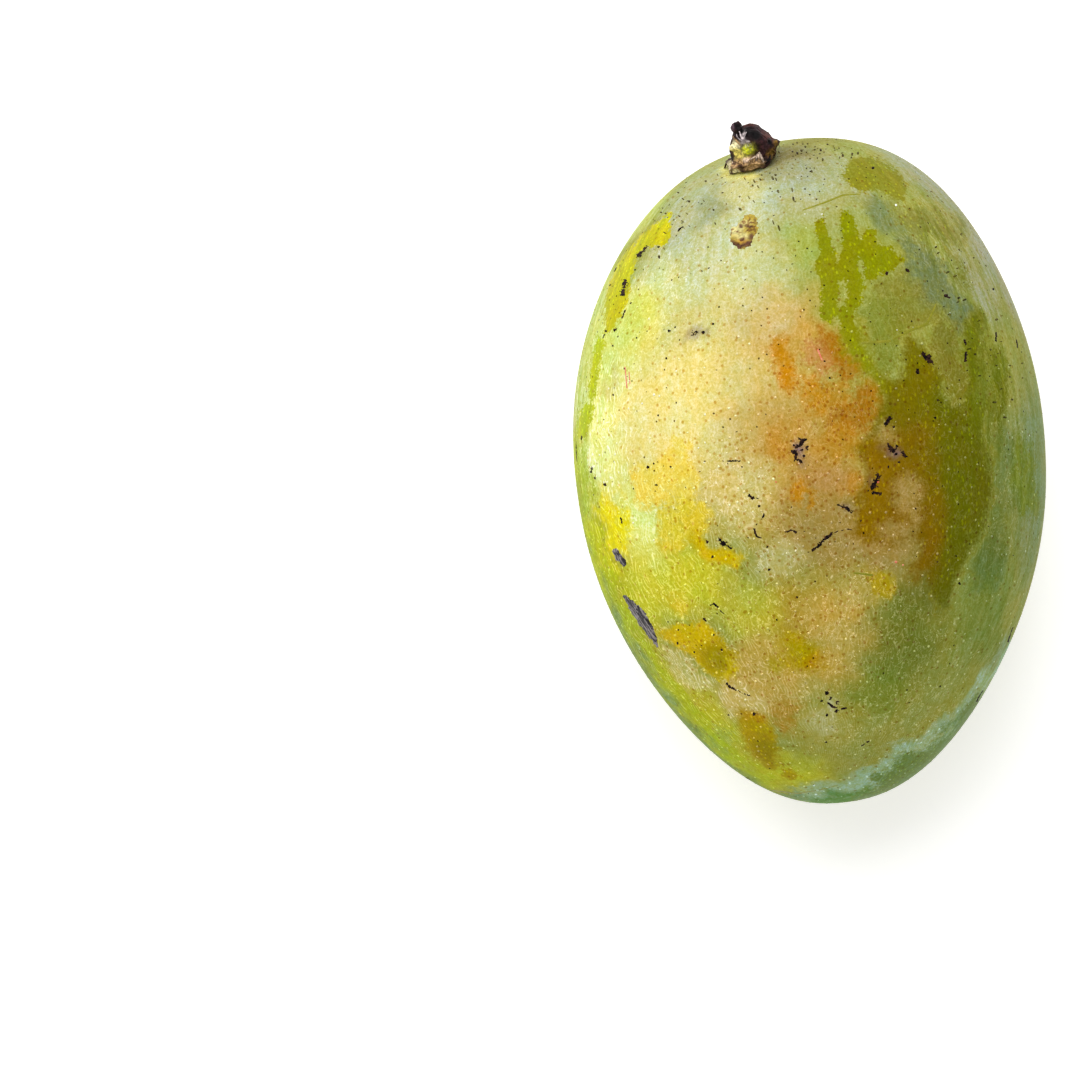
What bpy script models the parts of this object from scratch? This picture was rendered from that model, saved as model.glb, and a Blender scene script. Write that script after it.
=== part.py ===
"""A whole mango lying on its broad cheek, with the dried stub of its stalk.

The fruit is one solid. Its skin is a rounded egg form worked out by a formula: a fuller stem end, a
slimmer tip, a higher shoulder on its right, a dished saddle round the stalk, a furrow below that and a
soft crease above the tip. It lies on a small flat spot, with the stalk along +Y and its width along X.
The stub is a second solid, which stands in a shallow socket of the fruit.
"""

import math

import bmesh
import bpy
import numpy as np
from mathutils import Matrix, Vector

# The fruit's driving sizes, in metres
LENGTH = 0.1354
WIDTH = 0.0958
THICKNESS = 0.0862
LENGTHWISE_SQUARENESS = 2.25
CROSSWISE_SQUARENESS = 2.08
SHOULDER_LEAN = 0.0029
SKIN_CELLS = 28
MERGE_DISTANCE = 1e-5

# How full the outline is at t, which runs from -1 at the tip to +1 at the stalk: the factors of t,
# t squared, t cubed and t to the fourth
WIDTH_TAPER = (0.060, -0.210, 0.050, 0.080)
THICKNESS_TAPER = (0.105, -0.230, 0.040, 0.070)

# How it lies: the slimmer tip sinks, so the stalk end rides higher
LIE_PITCH = math.radians(3.0)
FLAT_DEPTH = 0.0011

# The stalk: the direction from the fruit's middle in which it grows out, its saddle and its socket
STALK_DIRECTION = (-0.226, 0.927, 0.382)
NORMAL_STEP = 0.01
SADDLE_DEPTH = 0.0014
SADDLE_RADIUS = 0.0100
SOCKET_RADIUS = 0.0050
SOCKET_DEPTH = 0.0009
SOCKET_SIDES = 48
SOCKET_CUTTER_HEIGHT = 0.0100
SOCKET_SURROUND = 1.4
SHOULDER_REACH = 0.02
FITTING_GAP = 0.0003

# Soft valleys of the skin: where each runs across and along the upper cheek, its depth and half width
FURROW_PATH = ((-0.0095, 0.0560), (-0.0125, 0.0480), (-0.0160, 0.0400))
FURROW_DEPTH = 0.0009
FURROW_HALF_WIDTH = 0.0036
CREASE_PATH = ((-0.003, -0.0640), (0.006, -0.0605), (0.017, -0.0535), (0.029, -0.0430))
CREASE_DEPTH = 0.0008
CREASE_HALF_WIDTH = 0.0034
VALLEY_FADE_HEIGHT = 0.014

# Slow waves that keep the skin from being a perfect egg
WAVE_HEIGHT = 0.00035
WAVE_COUNT = 5
WAVE_SEED = 11

# The stub: rings from its foot to its broken top. Each row is the height, the middle's offset across,
# and the half width across and through, in metres
STUB_RINGS = (
    (0.0000, 0.0000, 0.0045, 0.0044),
    (0.0010, 0.0000, 0.0045, 0.0044),
    (0.0017, 0.0003, 0.0052, 0.0049),
    (0.0024, 0.0010, 0.0049, 0.0044),
    (0.0032, 0.0019, 0.0042, 0.0036),
    (0.0040, 0.0026, 0.0044, 0.0035),
    (0.0052, 0.0028, 0.0045, 0.0037),
    (0.0066, 0.0026, 0.0040, 0.0036),
    (0.0080, 0.0021, 0.0032, 0.0030),
    (0.0090, 0.0017, 0.0023, 0.0022),
    (0.0095, 0.0015, 0.0010, 0.0010),
)
STUB_SIDES = 40
STUB_RINGS_BETWEEN = 2

# The ragged edge of the stub's collar: waves round it, their depth and their turn, fading to the top
STUB_LOBES = ((5, 0.045, 0.4), (9, 0.035, 1.9), (14, 0.020, 3.1))
TOP_SMOOTHNESS = 0.8

# Lumps of the stub: the turn from +X in degrees, the height, the reach and how far it stands out
STUB_LUMPS = (
    (-75, 0.0074, 0.0014, 0.0007),
    (-5, 0.0044, 0.0018, 0.0006),
    (-115, 0.0034, 0.0013, 0.0006),
    (-150, 0.0066, 0.0012, 0.0005),
    (35, 0.0066, 0.0016, 0.0006),
    (100, 0.0050, 0.0018, 0.0008),
    (165, 0.0044, 0.0013, 0.0005),
    (-100, 0.0013, 0.0010, 0.0004),
    (-45, 0.0017, 0.0010, 0.0005),
    (140, 0.0015, 0.0012, 0.0005),
)
KNOB_RADIUS = 0.0012
KNOB_SUBDIVISIONS = 2
KNOB_OFFSET = (-0.0004, -0.0004, 0.0091)

SKIN_COLOUR = (0.42, 0.50, 0.16, 1.0)
SKIN_ROUGHNESS = 0.42
STUB_COLOUR = (0.085, 0.045, 0.025, 1.0)
STUB_ROUGHNESS = 0.75


def clear_scene():
    """Removes every object of the scene."""
    for obj in list(bpy.data.objects):
        bpy.data.objects.remove(obj, do_unlink=True)


def finish(name, colour, roughness):
    """Returns a plain material of this colour and roughness."""
    material = bpy.data.materials.new(name)
    material.use_nodes = True
    shader = material.node_tree.nodes["Principled BSDF"]
    shader.inputs["Base Color"].default_value = colour
    shader.inputs["Roughness"].default_value = roughness
    shader.inputs["Metallic"].default_value = 0.0
    return material


def taper(t, factors):
    """Returns how full the outline is at t, from -1 at the tip to 1 at the stalk."""
    return 1.0 + sum(factor * t ** (power + 1) for power, factor in enumerate(factors))


def unit(direction):
    """Returns this direction at unit length, as a table of one row."""
    row = np.array([direction], dtype=float)
    return row / np.linalg.norm(row)


def rounded_sum(a, b, squareness):
    """Returns the length of the step (a, b) on a rounded square: on a circle where squareness is 2."""
    return (np.abs(a) ** squareness + np.abs(b) ** squareness) ** (1 / squareness)


def egg(directions):
    """Returns the plain egg form's points for these unit directions from the fruit's middle."""
    x, y, z = directions.T
    across = rounded_sum(x, z, CROSSWISE_SQUARENESS)
    reach = 1.0 / rounded_sum(across, y, LENGTHWISE_SQUARENESS)
    t = y * reach
    lean = SHOULDER_LEAN * np.maximum(t, 0.0) ** 3
    return np.column_stack((
        WIDTH / 2 * x * reach * taper(t, WIDTH_TAPER) + lean,
        LENGTH / 2 * t,
        THICKNESS / 2 * z * reach * taper(t, THICKNESS_TAPER),
    ))


def outward(points):
    """Returns the egg form's outward normals, near enough for small moves along them."""
    scaled = points / np.array((WIDTH / 2, LENGTH / 2, THICKNESS / 2)) ** 2
    return scaled / np.linalg.norm(scaled, axis=1, keepdims=True)


def distance_to_path(points, path):
    """Returns how far each point is from a run of straight stretches, seen from above the upper cheek."""
    flat = points[:, :2]
    nearest = np.full(len(points), np.inf)
    for start, end in zip(path, path[1:]):
        start = np.array(start)
        stretch = np.array(end) - start
        along = np.clip((flat - start) @ stretch / (stretch @ stretch), 0.0, 1.0)
        nearest = np.minimum(nearest, np.linalg.norm(flat - start - along[:, None] * stretch, axis=1))
    return nearest


def valley(points, path, depth, half_width):
    """Returns how deep a soft valley along this path presses the upper cheek."""
    rise = np.clip(points[:, 2] / VALLEY_FADE_HEIGHT, 0.0, 1.0)
    return depth * rise ** 2 * np.exp(-(distance_to_path(points, path) / half_width) ** 2)


def waves(directions):
    """Returns the height of the slow waves in these directions."""
    rng = np.random.default_rng(WAVE_SEED)
    height = np.zeros(len(directions))
    for _ in range(WAVE_COUNT):
        wave = rng.uniform(-3.0, 3.0, 3)
        height += np.sin(directions @ wave + rng.uniform(0.0, 2 * math.pi))
    return WAVE_HEIGHT * height / math.sqrt(WAVE_COUNT)


def skin(directions):
    """Returns the points of the fruit's skin, in its own frame before it lies down."""
    points = egg(directions)
    from_stalk = np.linalg.norm(points - egg(unit(STALK_DIRECTION)), axis=1)
    inward = SADDLE_DEPTH * np.exp(-(from_stalk / SADDLE_RADIUS) ** 2)
    inward += valley(points, FURROW_PATH, FURROW_DEPTH, FURROW_HALF_WIDTH)
    inward += valley(points, CREASE_PATH, CREASE_DEPTH, CREASE_HALF_WIDTH)
    inward -= waves(directions)
    return points - outward(points) * inward[:, None]


def cube_sphere(cells):
    """Returns the unit directions and the four-sided faces of a cube blown up to a ball."""
    steps = np.tan(np.linspace(-math.pi / 4, math.pi / 4, cells + 1))
    work = bmesh.new()
    sides = []
    for axis in range(3):
        for sign in (-1.0, 1.0):
            sides.append((axis, sign))
    for axis, sign in sides:
        grid = []
        for a in steps:
            row = []
            for b in steps:
                corner = [0.0, 0.0, 0.0]
                corner[axis] = sign
                corner[(axis + 1) % 3] = a * sign
                corner[(axis + 2) % 3] = b
                row.append(work.verts.new(Vector(corner).normalized()))
            grid.append(row)
        for i in range(cells):
            for j in range(cells):
                work.faces.new((grid[i][j], grid[i + 1][j], grid[i + 1][j + 1], grid[i][j + 1]))
    bmesh.ops.remove_doubles(work, verts=work.verts[:], dist=MERGE_DISTANCE)
    work.verts.index_update()
    directions = np.array([vert.co[:] for vert in work.verts])
    faces = [[vert.index for vert in face.verts] for face in work.faces]
    work.free()
    return directions, faces


def lie_down(points):
    """Returns these points of the fruit's own frame, turned to the way it lies."""
    turn = np.array(Matrix.Rotation(LIE_PITCH, 3, "X"))
    return points @ turn.T


def add_object(name, points, faces, material):
    """Adds a smooth closed mesh of these points and faces, and returns its object."""
    mesh = bpy.data.meshes.new(name)
    mesh.from_pydata([tuple(point) for point in points], [], faces)
    mesh.materials.append(material)
    work = bmesh.new()
    work.from_mesh(mesh)
    bmesh.ops.recalc_face_normals(work, faces=work.faces[:])
    work.to_mesh(mesh)
    work.free()
    mesh.shade_smooth()
    obj = bpy.data.objects.new(name, mesh)
    bpy.context.scene.collection.objects.link(obj)
    return obj


def stalk_frame():
    """Returns the stub's foot as it lies, and its frame.

    The frame's columns are across, away from the upper cheek, and out of the skin.
    """
    middle = Vector(unit(STALK_DIRECTION)[0])
    sideways = middle.cross(Vector((0.0, 0.0, 1.0))).normalized()
    upwards = sideways.cross(middle).normalized()
    foot = Vector(skin(unit(middle))[0])
    slopes = []
    for step in (sideways, upwards):
        ahead = skin(unit(middle + step * NORMAL_STEP))[0]
        behind = skin(unit(middle - step * NORMAL_STEP))[0]
        slopes.append(Vector(ahead - behind))
    axis = slopes[0].cross(slopes[1]).normalized()
    if axis.dot(middle) < 0.0:
        axis.negate()
    across = axis.cross(Vector((0.0, 0.0, 1.0))).normalized()
    away = axis.cross(across)
    turn = Matrix.Rotation(LIE_PITCH, 3, "X")
    return turn @ foot, turn @ Matrix((across, away, axis)).transposed()


def socket_floor(lying, foot, frame):
    """Returns how high along the stalk, from the foot, the skin's lowest place round the socket lies."""
    local = (lying - np.array(foot)) @ np.array(frame)
    near = np.hypot(local[:, 0], local[:, 1]) < SOCKET_RADIUS * SOCKET_SURROUND
    return float(local[near & (local[:, 2] > -SHOULDER_REACH)][:, 2].min())


def stub_rings():
    """Returns the stub's rings at an even, finer spacing, each as height, offset and two half widths."""
    table = np.array(STUB_RINGS)
    marks = np.arange(len(table))
    fine = np.linspace(0, len(table) - 1, (len(table) - 1) * STUB_RINGS_BETWEEN + 1)
    return np.column_stack([np.interp(fine, marks, column) for column in table.T])


def stub_swell(angles, height, radius):
    """Returns how far the stub's ragged lobes and lumps stand out at this height, in metres."""
    share = height / STUB_RINGS[-1][0]
    swell = np.zeros(len(angles))
    for count, size, phase in STUB_LOBES:
        swell += radius * size * (1.0 - TOP_SMOOTHNESS * share) * np.sin(count * angles + phase)
    for degrees, lump_height, reach, size in STUB_LUMPS:
        turn = (angles - math.radians(degrees) + math.pi) % (2 * math.pi) - math.pi
        swell += size * np.exp(-((turn * radius) ** 2 + (height - lump_height) ** 2) / reach ** 2)
    return swell * min(1.0, height / STUB_RINGS[2][0]) ** 2


def stub_mesh():
    """Returns the stub's points and faces in its own frame, foot at the origin and +Z along the stalk."""
    angles = np.linspace(0.0, 2 * math.pi, STUB_SIDES, endpoint=False)
    points = []
    rings = stub_rings()
    for height, offset, half_across, half_through in rings:
        swell = stub_swell(angles, height, half_across)
        points.append(np.column_stack((
            offset + (half_across + swell) * np.cos(angles),
            (half_through + swell) * np.sin(angles),
            np.full(STUB_SIDES, height),
        )))
    faces = []
    for ring in range(len(rings) - 1):
        low = ring * STUB_SIDES
        for side in range(STUB_SIDES):
            following = (side + 1) % STUB_SIDES
            upper = low + STUB_SIDES
            faces.append((low + side, low + following, upper + following, upper + side))
    faces.append(tuple(reversed(range(STUB_SIDES))))
    top = (len(rings) - 1) * STUB_SIDES
    faces.append(tuple(range(top, top + STUB_SIDES)))
    return np.vstack(points), faces


def make_stub(foot, frame, material):
    """Makes the stub with its side knob joined on, standing in the socket."""
    points, faces = stub_mesh()
    placed = points @ np.array(frame).T + np.array(foot)
    stub = add_object("stem_stub", placed, faces, material)
    bpy.ops.mesh.primitive_ico_sphere_add(subdivisions=KNOB_SUBDIVISIONS, radius=KNOB_RADIUS)
    knob = bpy.context.object
    knob.name = "knob_guide"
    knob.data.transform(Matrix.Translation(Vector(foot) + frame @ Vector(KNOB_OFFSET)))
    join = stub.modifiers.new("knob", "BOOLEAN")
    join.operation = "UNION"
    join.object = knob
    bake_modifiers(stub)
    bpy.data.objects.remove(knob, do_unlink=True)
    return stub


def bake_modifiers(obj):
    """Applies the object's modifiers to its mesh."""
    with bpy.context.temp_override(object=obj, active_object=obj, selected_objects=[obj]):
        for modifier in list(obj.modifiers):
            bpy.ops.object.modifier_apply(modifier=modifier.name)


def cut_socket(fruit, foot, frame):
    """Cuts the round socket that the stub stands in."""
    bpy.ops.mesh.primitive_cylinder_add(
        vertices=SOCKET_SIDES, radius=SOCKET_RADIUS, depth=SOCKET_CUTTER_HEIGHT
    )
    cutter = bpy.context.object
    cutter.name = "socket_guide"
    raise_foot = Matrix.Translation(Vector((0.0, 0.0, SOCKET_CUTTER_HEIGHT / 2)))
    cutter.data.transform(Matrix.Translation(Vector(foot)) @ frame.to_4x4() @ raise_foot)
    cut = fruit.modifiers.new("socket", "BOOLEAN")
    cut.operation = "DIFFERENCE"
    cut.object = cutter
    bake_modifiers(fruit)
    bpy.data.objects.remove(cutter, do_unlink=True)


def centre_on_box(objects):
    """Moves the meshes so that the box round them all stands on the origin, centred."""
    corners = np.array([vert.co[:] for obj in objects for vert in obj.data.vertices])
    low, high = corners.min(axis=0), corners.max(axis=0)
    shift = Vector((-(low[0] + high[0]) / 2, -(low[1] + high[1]) / 2, 0.0))
    for obj in objects:
        obj.data.transform(Matrix.Translation(shift))


def main():
    """Builds the fruit and its stub."""
    clear_scene()
    skin_finish = finish("mango_skin", SKIN_COLOUR, SKIN_ROUGHNESS)
    stub_finish = finish("dry_stalk", STUB_COLOUR, STUB_ROUGHNESS)
    directions, faces = cube_sphere(SKIN_CELLS)
    lying = lie_down(skin(directions))
    ground = lying[:, 2].min() + FLAT_DEPTH
    lying[:, 2] = np.maximum(lying[:, 2] - ground, 0.0)
    fruit = add_object("fruit", lying, faces, skin_finish)
    foot, frame = stalk_frame()
    foot.z -= ground
    axis = frame.col[2]
    floor = foot + axis * (socket_floor(lying, foot, frame) - SOCKET_DEPTH)
    cut_socket(fruit, floor, frame)
    stub = make_stub(floor + axis * FITTING_GAP, frame, stub_finish)
    centre_on_box([fruit, stub])


main()
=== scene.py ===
"""The looks of a whole mango that lies on its broad cheek, seen from above.

The fruit's skin is worked out by the same formula as its solid, on a finer net, and painted through the
camera: a soft bloomed ground, crisp patches where the bloom is rubbed off, lenticels, scars and scratches,
with painted light, painted shade and painted reflection in places.
The stub of its stalk is built flake by flake on the shoulder. Everything is in metres, in the CAD frame.
"""

import logging
import math
from dataclasses import dataclass
from enum import Enum
from typing import Optional, Sequence

import bmesh
import bpy
import numpy as np
from mathutils import Matrix, Vector, noise
from mathutils.bvhtree import BVHTree


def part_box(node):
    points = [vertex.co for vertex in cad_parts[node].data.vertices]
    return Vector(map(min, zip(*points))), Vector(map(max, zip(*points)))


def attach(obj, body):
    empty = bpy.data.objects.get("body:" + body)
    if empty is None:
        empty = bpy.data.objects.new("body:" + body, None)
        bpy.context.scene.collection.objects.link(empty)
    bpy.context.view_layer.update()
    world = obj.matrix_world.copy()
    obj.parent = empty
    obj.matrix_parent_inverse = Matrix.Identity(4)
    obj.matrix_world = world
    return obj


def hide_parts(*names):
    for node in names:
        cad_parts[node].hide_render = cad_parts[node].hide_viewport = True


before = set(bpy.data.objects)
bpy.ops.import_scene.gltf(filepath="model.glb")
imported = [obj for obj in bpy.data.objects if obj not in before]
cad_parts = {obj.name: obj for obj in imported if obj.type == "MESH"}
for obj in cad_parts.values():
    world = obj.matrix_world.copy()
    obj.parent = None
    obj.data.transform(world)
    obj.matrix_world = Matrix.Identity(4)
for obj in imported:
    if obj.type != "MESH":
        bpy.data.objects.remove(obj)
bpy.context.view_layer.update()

BODY = "root"
# How high the fruit's middle is above the floor, and numbers past any real distance
MIDDLE_HEIGHT = 0.043
FAR = 1e9
TINY = 1e-9
Socket = bpy.types.NodeSocket
log = logging.getLogger("mango")


def as_linear(colour: Sequence[float]) -> tuple[float, float, float, float]:
    """Turns a colour as a screen shows it into linear light.

    Args:
        colour: red, green and blue from 0 to 255.

    Returns:
        The linear colour with full cover.
    """
    shown = [value / 255 for value in colour]
    linear = [v / 12.92 if v <= 0.04045 else ((v + 0.055) / 1.055) ** 2.4 for v in shown]
    return (linear[0], linear[1], linear[2], 1.0)


def add_object(name: str, data: bpy.types.ID) -> bpy.types.Object:
    """Adds an object with this data to the scene."""
    obj = bpy.data.objects.new(name, data)
    bpy.context.scene.collection.objects.link(obj)
    return obj


def add_mesh(name: str, points: np.ndarray, faces: list, material: bpy.types.Material) -> bpy.types.Object:
    """Adds a smooth mesh to the scene.

    Args:
        name: the piece's name.
        points: one row per corner point, in metres.
        faces: the corner numbers of each face.
        material: its finish.

    Returns:
        The new object.
    """
    mesh = bpy.data.meshes.new(name)
    mesh.from_pydata([tuple(point) for point in points], [], faces)
    mesh.materials.append(material)
    work = bmesh.new()
    work.from_mesh(mesh)
    bmesh.ops.recalc_face_normals(work, faces=work.faces[:])
    work.to_mesh(mesh)
    work.free()
    mesh.shade_smooth()
    return add_object(name, mesh)


def keep_layer(obj: bpy.types.Object, name: str, values: np.ndarray) -> None:
    """Keeps a painted layer on a mesh.

    Args:
        obj: the piece.
        name: the layer's name.
        values: one number or one colour per corner point.
    """
    kind, key = ("FLOAT_COLOR", "color") if values.ndim == 2 else ("FLOAT", "value")
    layer = obj.data.attributes.new(name, kind, "POINT")
    layer.data.foreach_set(key, values.astype(np.float32).ravel())


def from_line(points: np.ndarray, start: np.ndarray, end: np.ndarray) -> tuple[np.ndarray, np.ndarray]:
    """Measures points against a straight line.

    Args:
        points: one row per point.
        start: where the line starts.
        end: where it ends.

    Returns:
        How far each point is from the line, and the share of the line at its nearest place.
    """
    stretch = end - start
    away = points - start
    along = np.clip(away @ stretch / max(stretch @ stretch, TINY), 0.0, 1.0)
    return np.linalg.norm(away - along[:, None] * stretch, axis=1), along


def from_path(points: np.ndarray, path: Sequence) -> np.ndarray:
    """Returns how far each point is from a path of straight lines."""
    corners = np.array(path, float)
    return np.minimum.reduce([from_line(points, *ends)[0] for ends in zip(corners, corners[1:])])


@dataclass
class FruitForm:
    """The fruit's egg form and how it lies, with the solid's own sizes in metres."""

    length: float = 0.1354
    width: float = 0.0958
    thickness: float = 0.0862
    lengthwise_squareness: float = 2.25
    crosswise_squareness: float = 2.08
    shoulder_lean: float = 0.0029
    width_taper: tuple = (0.060, -0.210, 0.050, 0.080)
    thickness_taper: tuple = (0.105, -0.230, 0.040, 0.070)
    lie_pitch: float = math.radians(3.0)
    stalk_direction: tuple = (-0.226, 0.927, 0.382)
    saddle_depth: float = 0.0014
    saddle_radius: float = 0.0100
    furrow_path: tuple = ((-0.0095, 0.0560), (-0.0125, 0.0480), (-0.0160, 0.0400))
    furrow_depth: float = 0.0009
    furrow_half_width: float = 0.0036
    crease_path: tuple = ((-0.003, -0.0640), (0.006, -0.0605), (0.017, -0.0535), (0.029, -0.0430))
    crease_depth: float = 0.0008
    crease_half_width: float = 0.0034
    valley_fade_height: float = 0.014
    wave_height: float = 0.00035
    wave_count: int = 5
    wave_seed: int = 11

    @staticmethod
    def taper(t: np.ndarray, factors: tuple) -> np.ndarray:
        """Returns how full the outline is at t, from -1 at the tip to 1 at the stalk."""
        return 1.0 + sum(factor * t ** (power + 1) for power, factor in enumerate(factors))

    @staticmethod
    def rounded_sum(a: np.ndarray, b: np.ndarray, squareness: float) -> np.ndarray:
        """Returns the length of the step (a, b) on a rounded square."""
        return (np.abs(a) ** squareness + np.abs(b) ** squareness) ** (1 / squareness)

    def egg(self, directions: np.ndarray) -> np.ndarray:
        """Returns the plain egg form's points for these unit directions from the middle."""
        x, y, z = directions.T
        across = self.rounded_sum(x, z, self.crosswise_squareness)
        reach = 1.0 / self.rounded_sum(across, y, self.lengthwise_squareness)
        t = y * reach
        lean = self.shoulder_lean * np.maximum(t, 0.0) ** 3
        return np.column_stack((
            self.width / 2 * x * reach * self.taper(t, self.width_taper) + lean,
            self.length / 2 * t,
            self.thickness / 2 * z * reach * self.taper(t, self.thickness_taper),
        ))

    def outward(self, points: np.ndarray) -> np.ndarray:
        """Returns the egg form's outward normals, near enough for small moves along them."""
        scaled = points / (np.array((self.width, self.length, self.thickness)) / 2) ** 2
        return scaled / np.linalg.norm(scaled, axis=1, keepdims=True)

    def valley(self, points: np.ndarray, path: tuple, depth: float, half_width: float) -> np.ndarray:
        """Returns how deep a soft valley along this path presses the upper cheek."""
        rise = np.clip(points[:, 2] / self.valley_fade_height, 0.0, 1.0)
        return depth * rise ** 2 * np.exp(-(from_path(points[:, :2], path) / half_width) ** 2)

    def waves(self, directions: np.ndarray) -> np.ndarray:
        """Returns the height of the slow waves in these directions."""
        rng = np.random.default_rng(self.wave_seed)
        height = np.zeros(len(directions))
        for _ in range(self.wave_count):
            wave = rng.uniform(-3.0, 3.0, 3)
            height += np.sin(directions @ wave + rng.uniform(0.0, 2 * math.pi))
        return self.wave_height * height / math.sqrt(self.wave_count)

    def skin(self, directions: np.ndarray) -> np.ndarray:
        """Returns the skin's points in the fruit's own frame, before it lies down."""
        points = self.egg(directions)
        stalk = np.array([self.stalk_direction])
        from_stalk = np.linalg.norm(points - self.egg(stalk / np.linalg.norm(stalk)), axis=1)
        inward = self.saddle_depth * np.exp(-(from_stalk / self.saddle_radius) ** 2)
        inward += self.valley(points, self.furrow_path, self.furrow_depth, self.furrow_half_width)
        inward += self.valley(points, self.crease_path, self.crease_depth, self.crease_half_width)
        inward -= self.waves(directions)
        return points - self.outward(points) * inward[:, None]

    @staticmethod
    def ball(cells: int) -> tuple[np.ndarray, list]:
        """Lays a net of four-sided cells on a ball.

        Args:
            cells: how many cells each of the net's six sides has along an edge.

        Returns:
            The unit directions of its corners, and its faces.
        """
        steps = np.tan(np.linspace(-math.pi / 4, math.pi / 4, cells + 1))
        a, b = np.meshgrid(steps, steps, indexing="ij")
        sides = []
        for axis in range(3):
            for sign in (-1.0, 1.0):
                corner = np.zeros((cells + 1, cells + 1, 3))
                corner[..., axis] = sign
                corner[..., (axis + 1) % 3] = a * sign
                corner[..., (axis + 2) % 3] = b
                sides.append(corner.reshape(-1, 3))
        loose = np.vstack(sides)
        loose /= np.linalg.norm(loose, axis=1, keepdims=True)
        _, first, merged = np.unique(np.round(loose, 6), axis=0, return_index=True, return_inverse=True)
        row = cells + 1
        cell = (np.arange(cells)[:, None] * row + np.arange(cells)).ravel()
        quads = []
        for side in range(6):
            base = cell + side * row * row
            quads.append(np.column_stack((base, base + row, base + row + 1, base + 1)))
        return loose[first], merged.ravel()[np.vstack(quads)].tolist()

    def lying(self, directions: np.ndarray) -> np.ndarray:
        """Returns the skin's points as the fruit lies in the CAD frame, fitted to the CAD node's box."""
        turn = np.array(Matrix.Rotation(self.lie_pitch, 3, "X"))
        points = self.skin(directions) @ turn.T
        low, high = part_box("fruit")
        middle = (points.min(axis=0) + points.max(axis=0)) / 2
        points[:, :2] += (np.array(low + high) / 2 - middle)[:2]
        points[:, 2] += high.z - points[:, 2].max()
        points[:, 2] = np.maximum(points[:, 2], 0.0)
        return points


@dataclass
class CameraView:
    """The place of the camera, set so that the fruit's outline falls where the photograph has it."""

    azimuth: float = math.radians(5.4375)
    elevation: float = math.radians(87.0)
    distance: float = 1.2
    lens: float = 196.92
    sensor: float = 36.0
    picture: float = 1080.0
    middle_right: float = 271.375
    middle_down: float = -68.625
    sight_range: tuple = (0.05, 20.0)

    def __post_init__(self) -> None:
        """Works out the camera's axes and place."""
        a, e = self.azimuth, self.elevation
        self.forward = np.array((math.sin(a) * math.cos(e), math.cos(a) * math.cos(e), -math.sin(e)))
        self.right = np.array((math.cos(a), -math.sin(a), 0.0))
        self.up = np.cross(self.right, self.forward)
        self.pixels = self.lens / self.sensor * self.picture
        low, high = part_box("fruit")
        step = self.distance / self.pixels
        aim = np.array(low + high) / 2 - self.right * self.middle_right * step
        aim += self.up * self.middle_down * step
        self.place = aim - self.forward * self.distance

    def pixel(self, points: np.ndarray) -> np.ndarray:
        """Returns where these points fall in the picture, in its pixels."""
        seen = points - self.place
        depth = seen @ self.forward
        across = self.picture / 2 + self.pixels * (seen @ self.right) / depth
        down = self.picture / 2 - self.pixels * (seen @ self.up) / depth
        return np.column_stack((across, down))

    def ray(self, x: float, y: float) -> tuple[Vector, Vector]:
        """Returns the start and direction of the line of sight through a pixel."""
        across = (x - self.picture / 2) / self.pixels
        down = (y - self.picture / 2) / self.pixels
        direction = self.forward + across * self.right - down * self.up
        return Vector(self.place), Vector(direction).normalized()

    def build(self) -> bpy.types.Object:
        """Creates the camera and makes it the scene's own."""
        data = bpy.data.cameras.new("camera")
        data.lens = self.lens
        data.sensor_width = self.sensor
        data.clip_start, data.clip_end = self.sight_range
        camera = add_object("camera", data)
        turn = Matrix((self.right, self.up, -self.forward)).transposed().to_4x4()
        camera.matrix_world = Matrix.Translation(Vector(self.place)) @ turn
        bpy.context.scene.camera = camera
        return camera


@dataclass
class Studio:
    """The plain pale floor and the soft lights."""

    floor_side: float = 8.0
    floor_colour: tuple = (0.88, 0.88, 0.88, 1.0)
    floor_glow: float = 0.43
    floor_roughness: float = 0.9
    floor_gloss: float = 0.1
    sky_strength: float = 0.55
    key_direction: tuple = (-0.16, 0.50, 0.85)
    key_distance: float = 1.3
    key_side: float = 1.1
    key_power: float = 15.0

    def build(self) -> None:
        """Makes the floor, the sky and the key light."""
        self.make_floor()
        self.make_sky()
        self.make_key()
        bpy.context.scene.view_settings.view_transform = "Standard"

    def make_floor(self) -> None:
        """Makes the floor that the fruit lies on."""
        half = self.floor_side / 2
        mesh = bpy.data.meshes.new("floor")
        corners = [(-half, -half, 0), (half, -half, 0), (half, half, 0), (-half, half, 0)]
        mesh.from_pydata(corners, [], [(0, 1, 2, 3)])
        material = bpy.data.materials.new("floor_paper")
        material.use_nodes = True
        shader = material.node_tree.nodes["Principled BSDF"]
        shader.inputs["Base Color"].default_value = self.floor_colour
        shader.inputs["Roughness"].default_value = self.floor_roughness
        shader.inputs["Specular IOR Level"].default_value = self.floor_gloss
        shader.inputs["Emission Color"].default_value = (1.0, 1.0, 1.0, 1.0)
        shader.inputs["Emission Strength"].default_value = self.floor_glow
        mesh.materials.append(material)
        add_object("floor", mesh)

    def make_sky(self) -> None:
        """Lights the scene evenly from all round."""
        world = bpy.data.worlds.new("studio_room")
        world.use_nodes = True
        background = world.node_tree.nodes["Background"]
        background.inputs["Color"].default_value = (1.0, 1.0, 1.0, 1.0)
        background.inputs["Strength"].default_value = self.sky_strength
        bpy.context.scene.world = world

    def make_key(self) -> None:
        """Hangs the large soft light at the fruit's left."""
        data = bpy.data.lights.new("key_light", "AREA")
        data.shape = "SQUARE"
        data.size = self.key_side
        data.energy = self.key_power
        light = add_object("key_light", data)
        direction = Vector(self.key_direction).normalized()
        light.location = direction * self.key_distance
        light.rotation_mode = "QUATERNION"
        light.rotation_quaternion = direction.to_track_quat("Z", "Y")
        light.visible_camera = False


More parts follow.
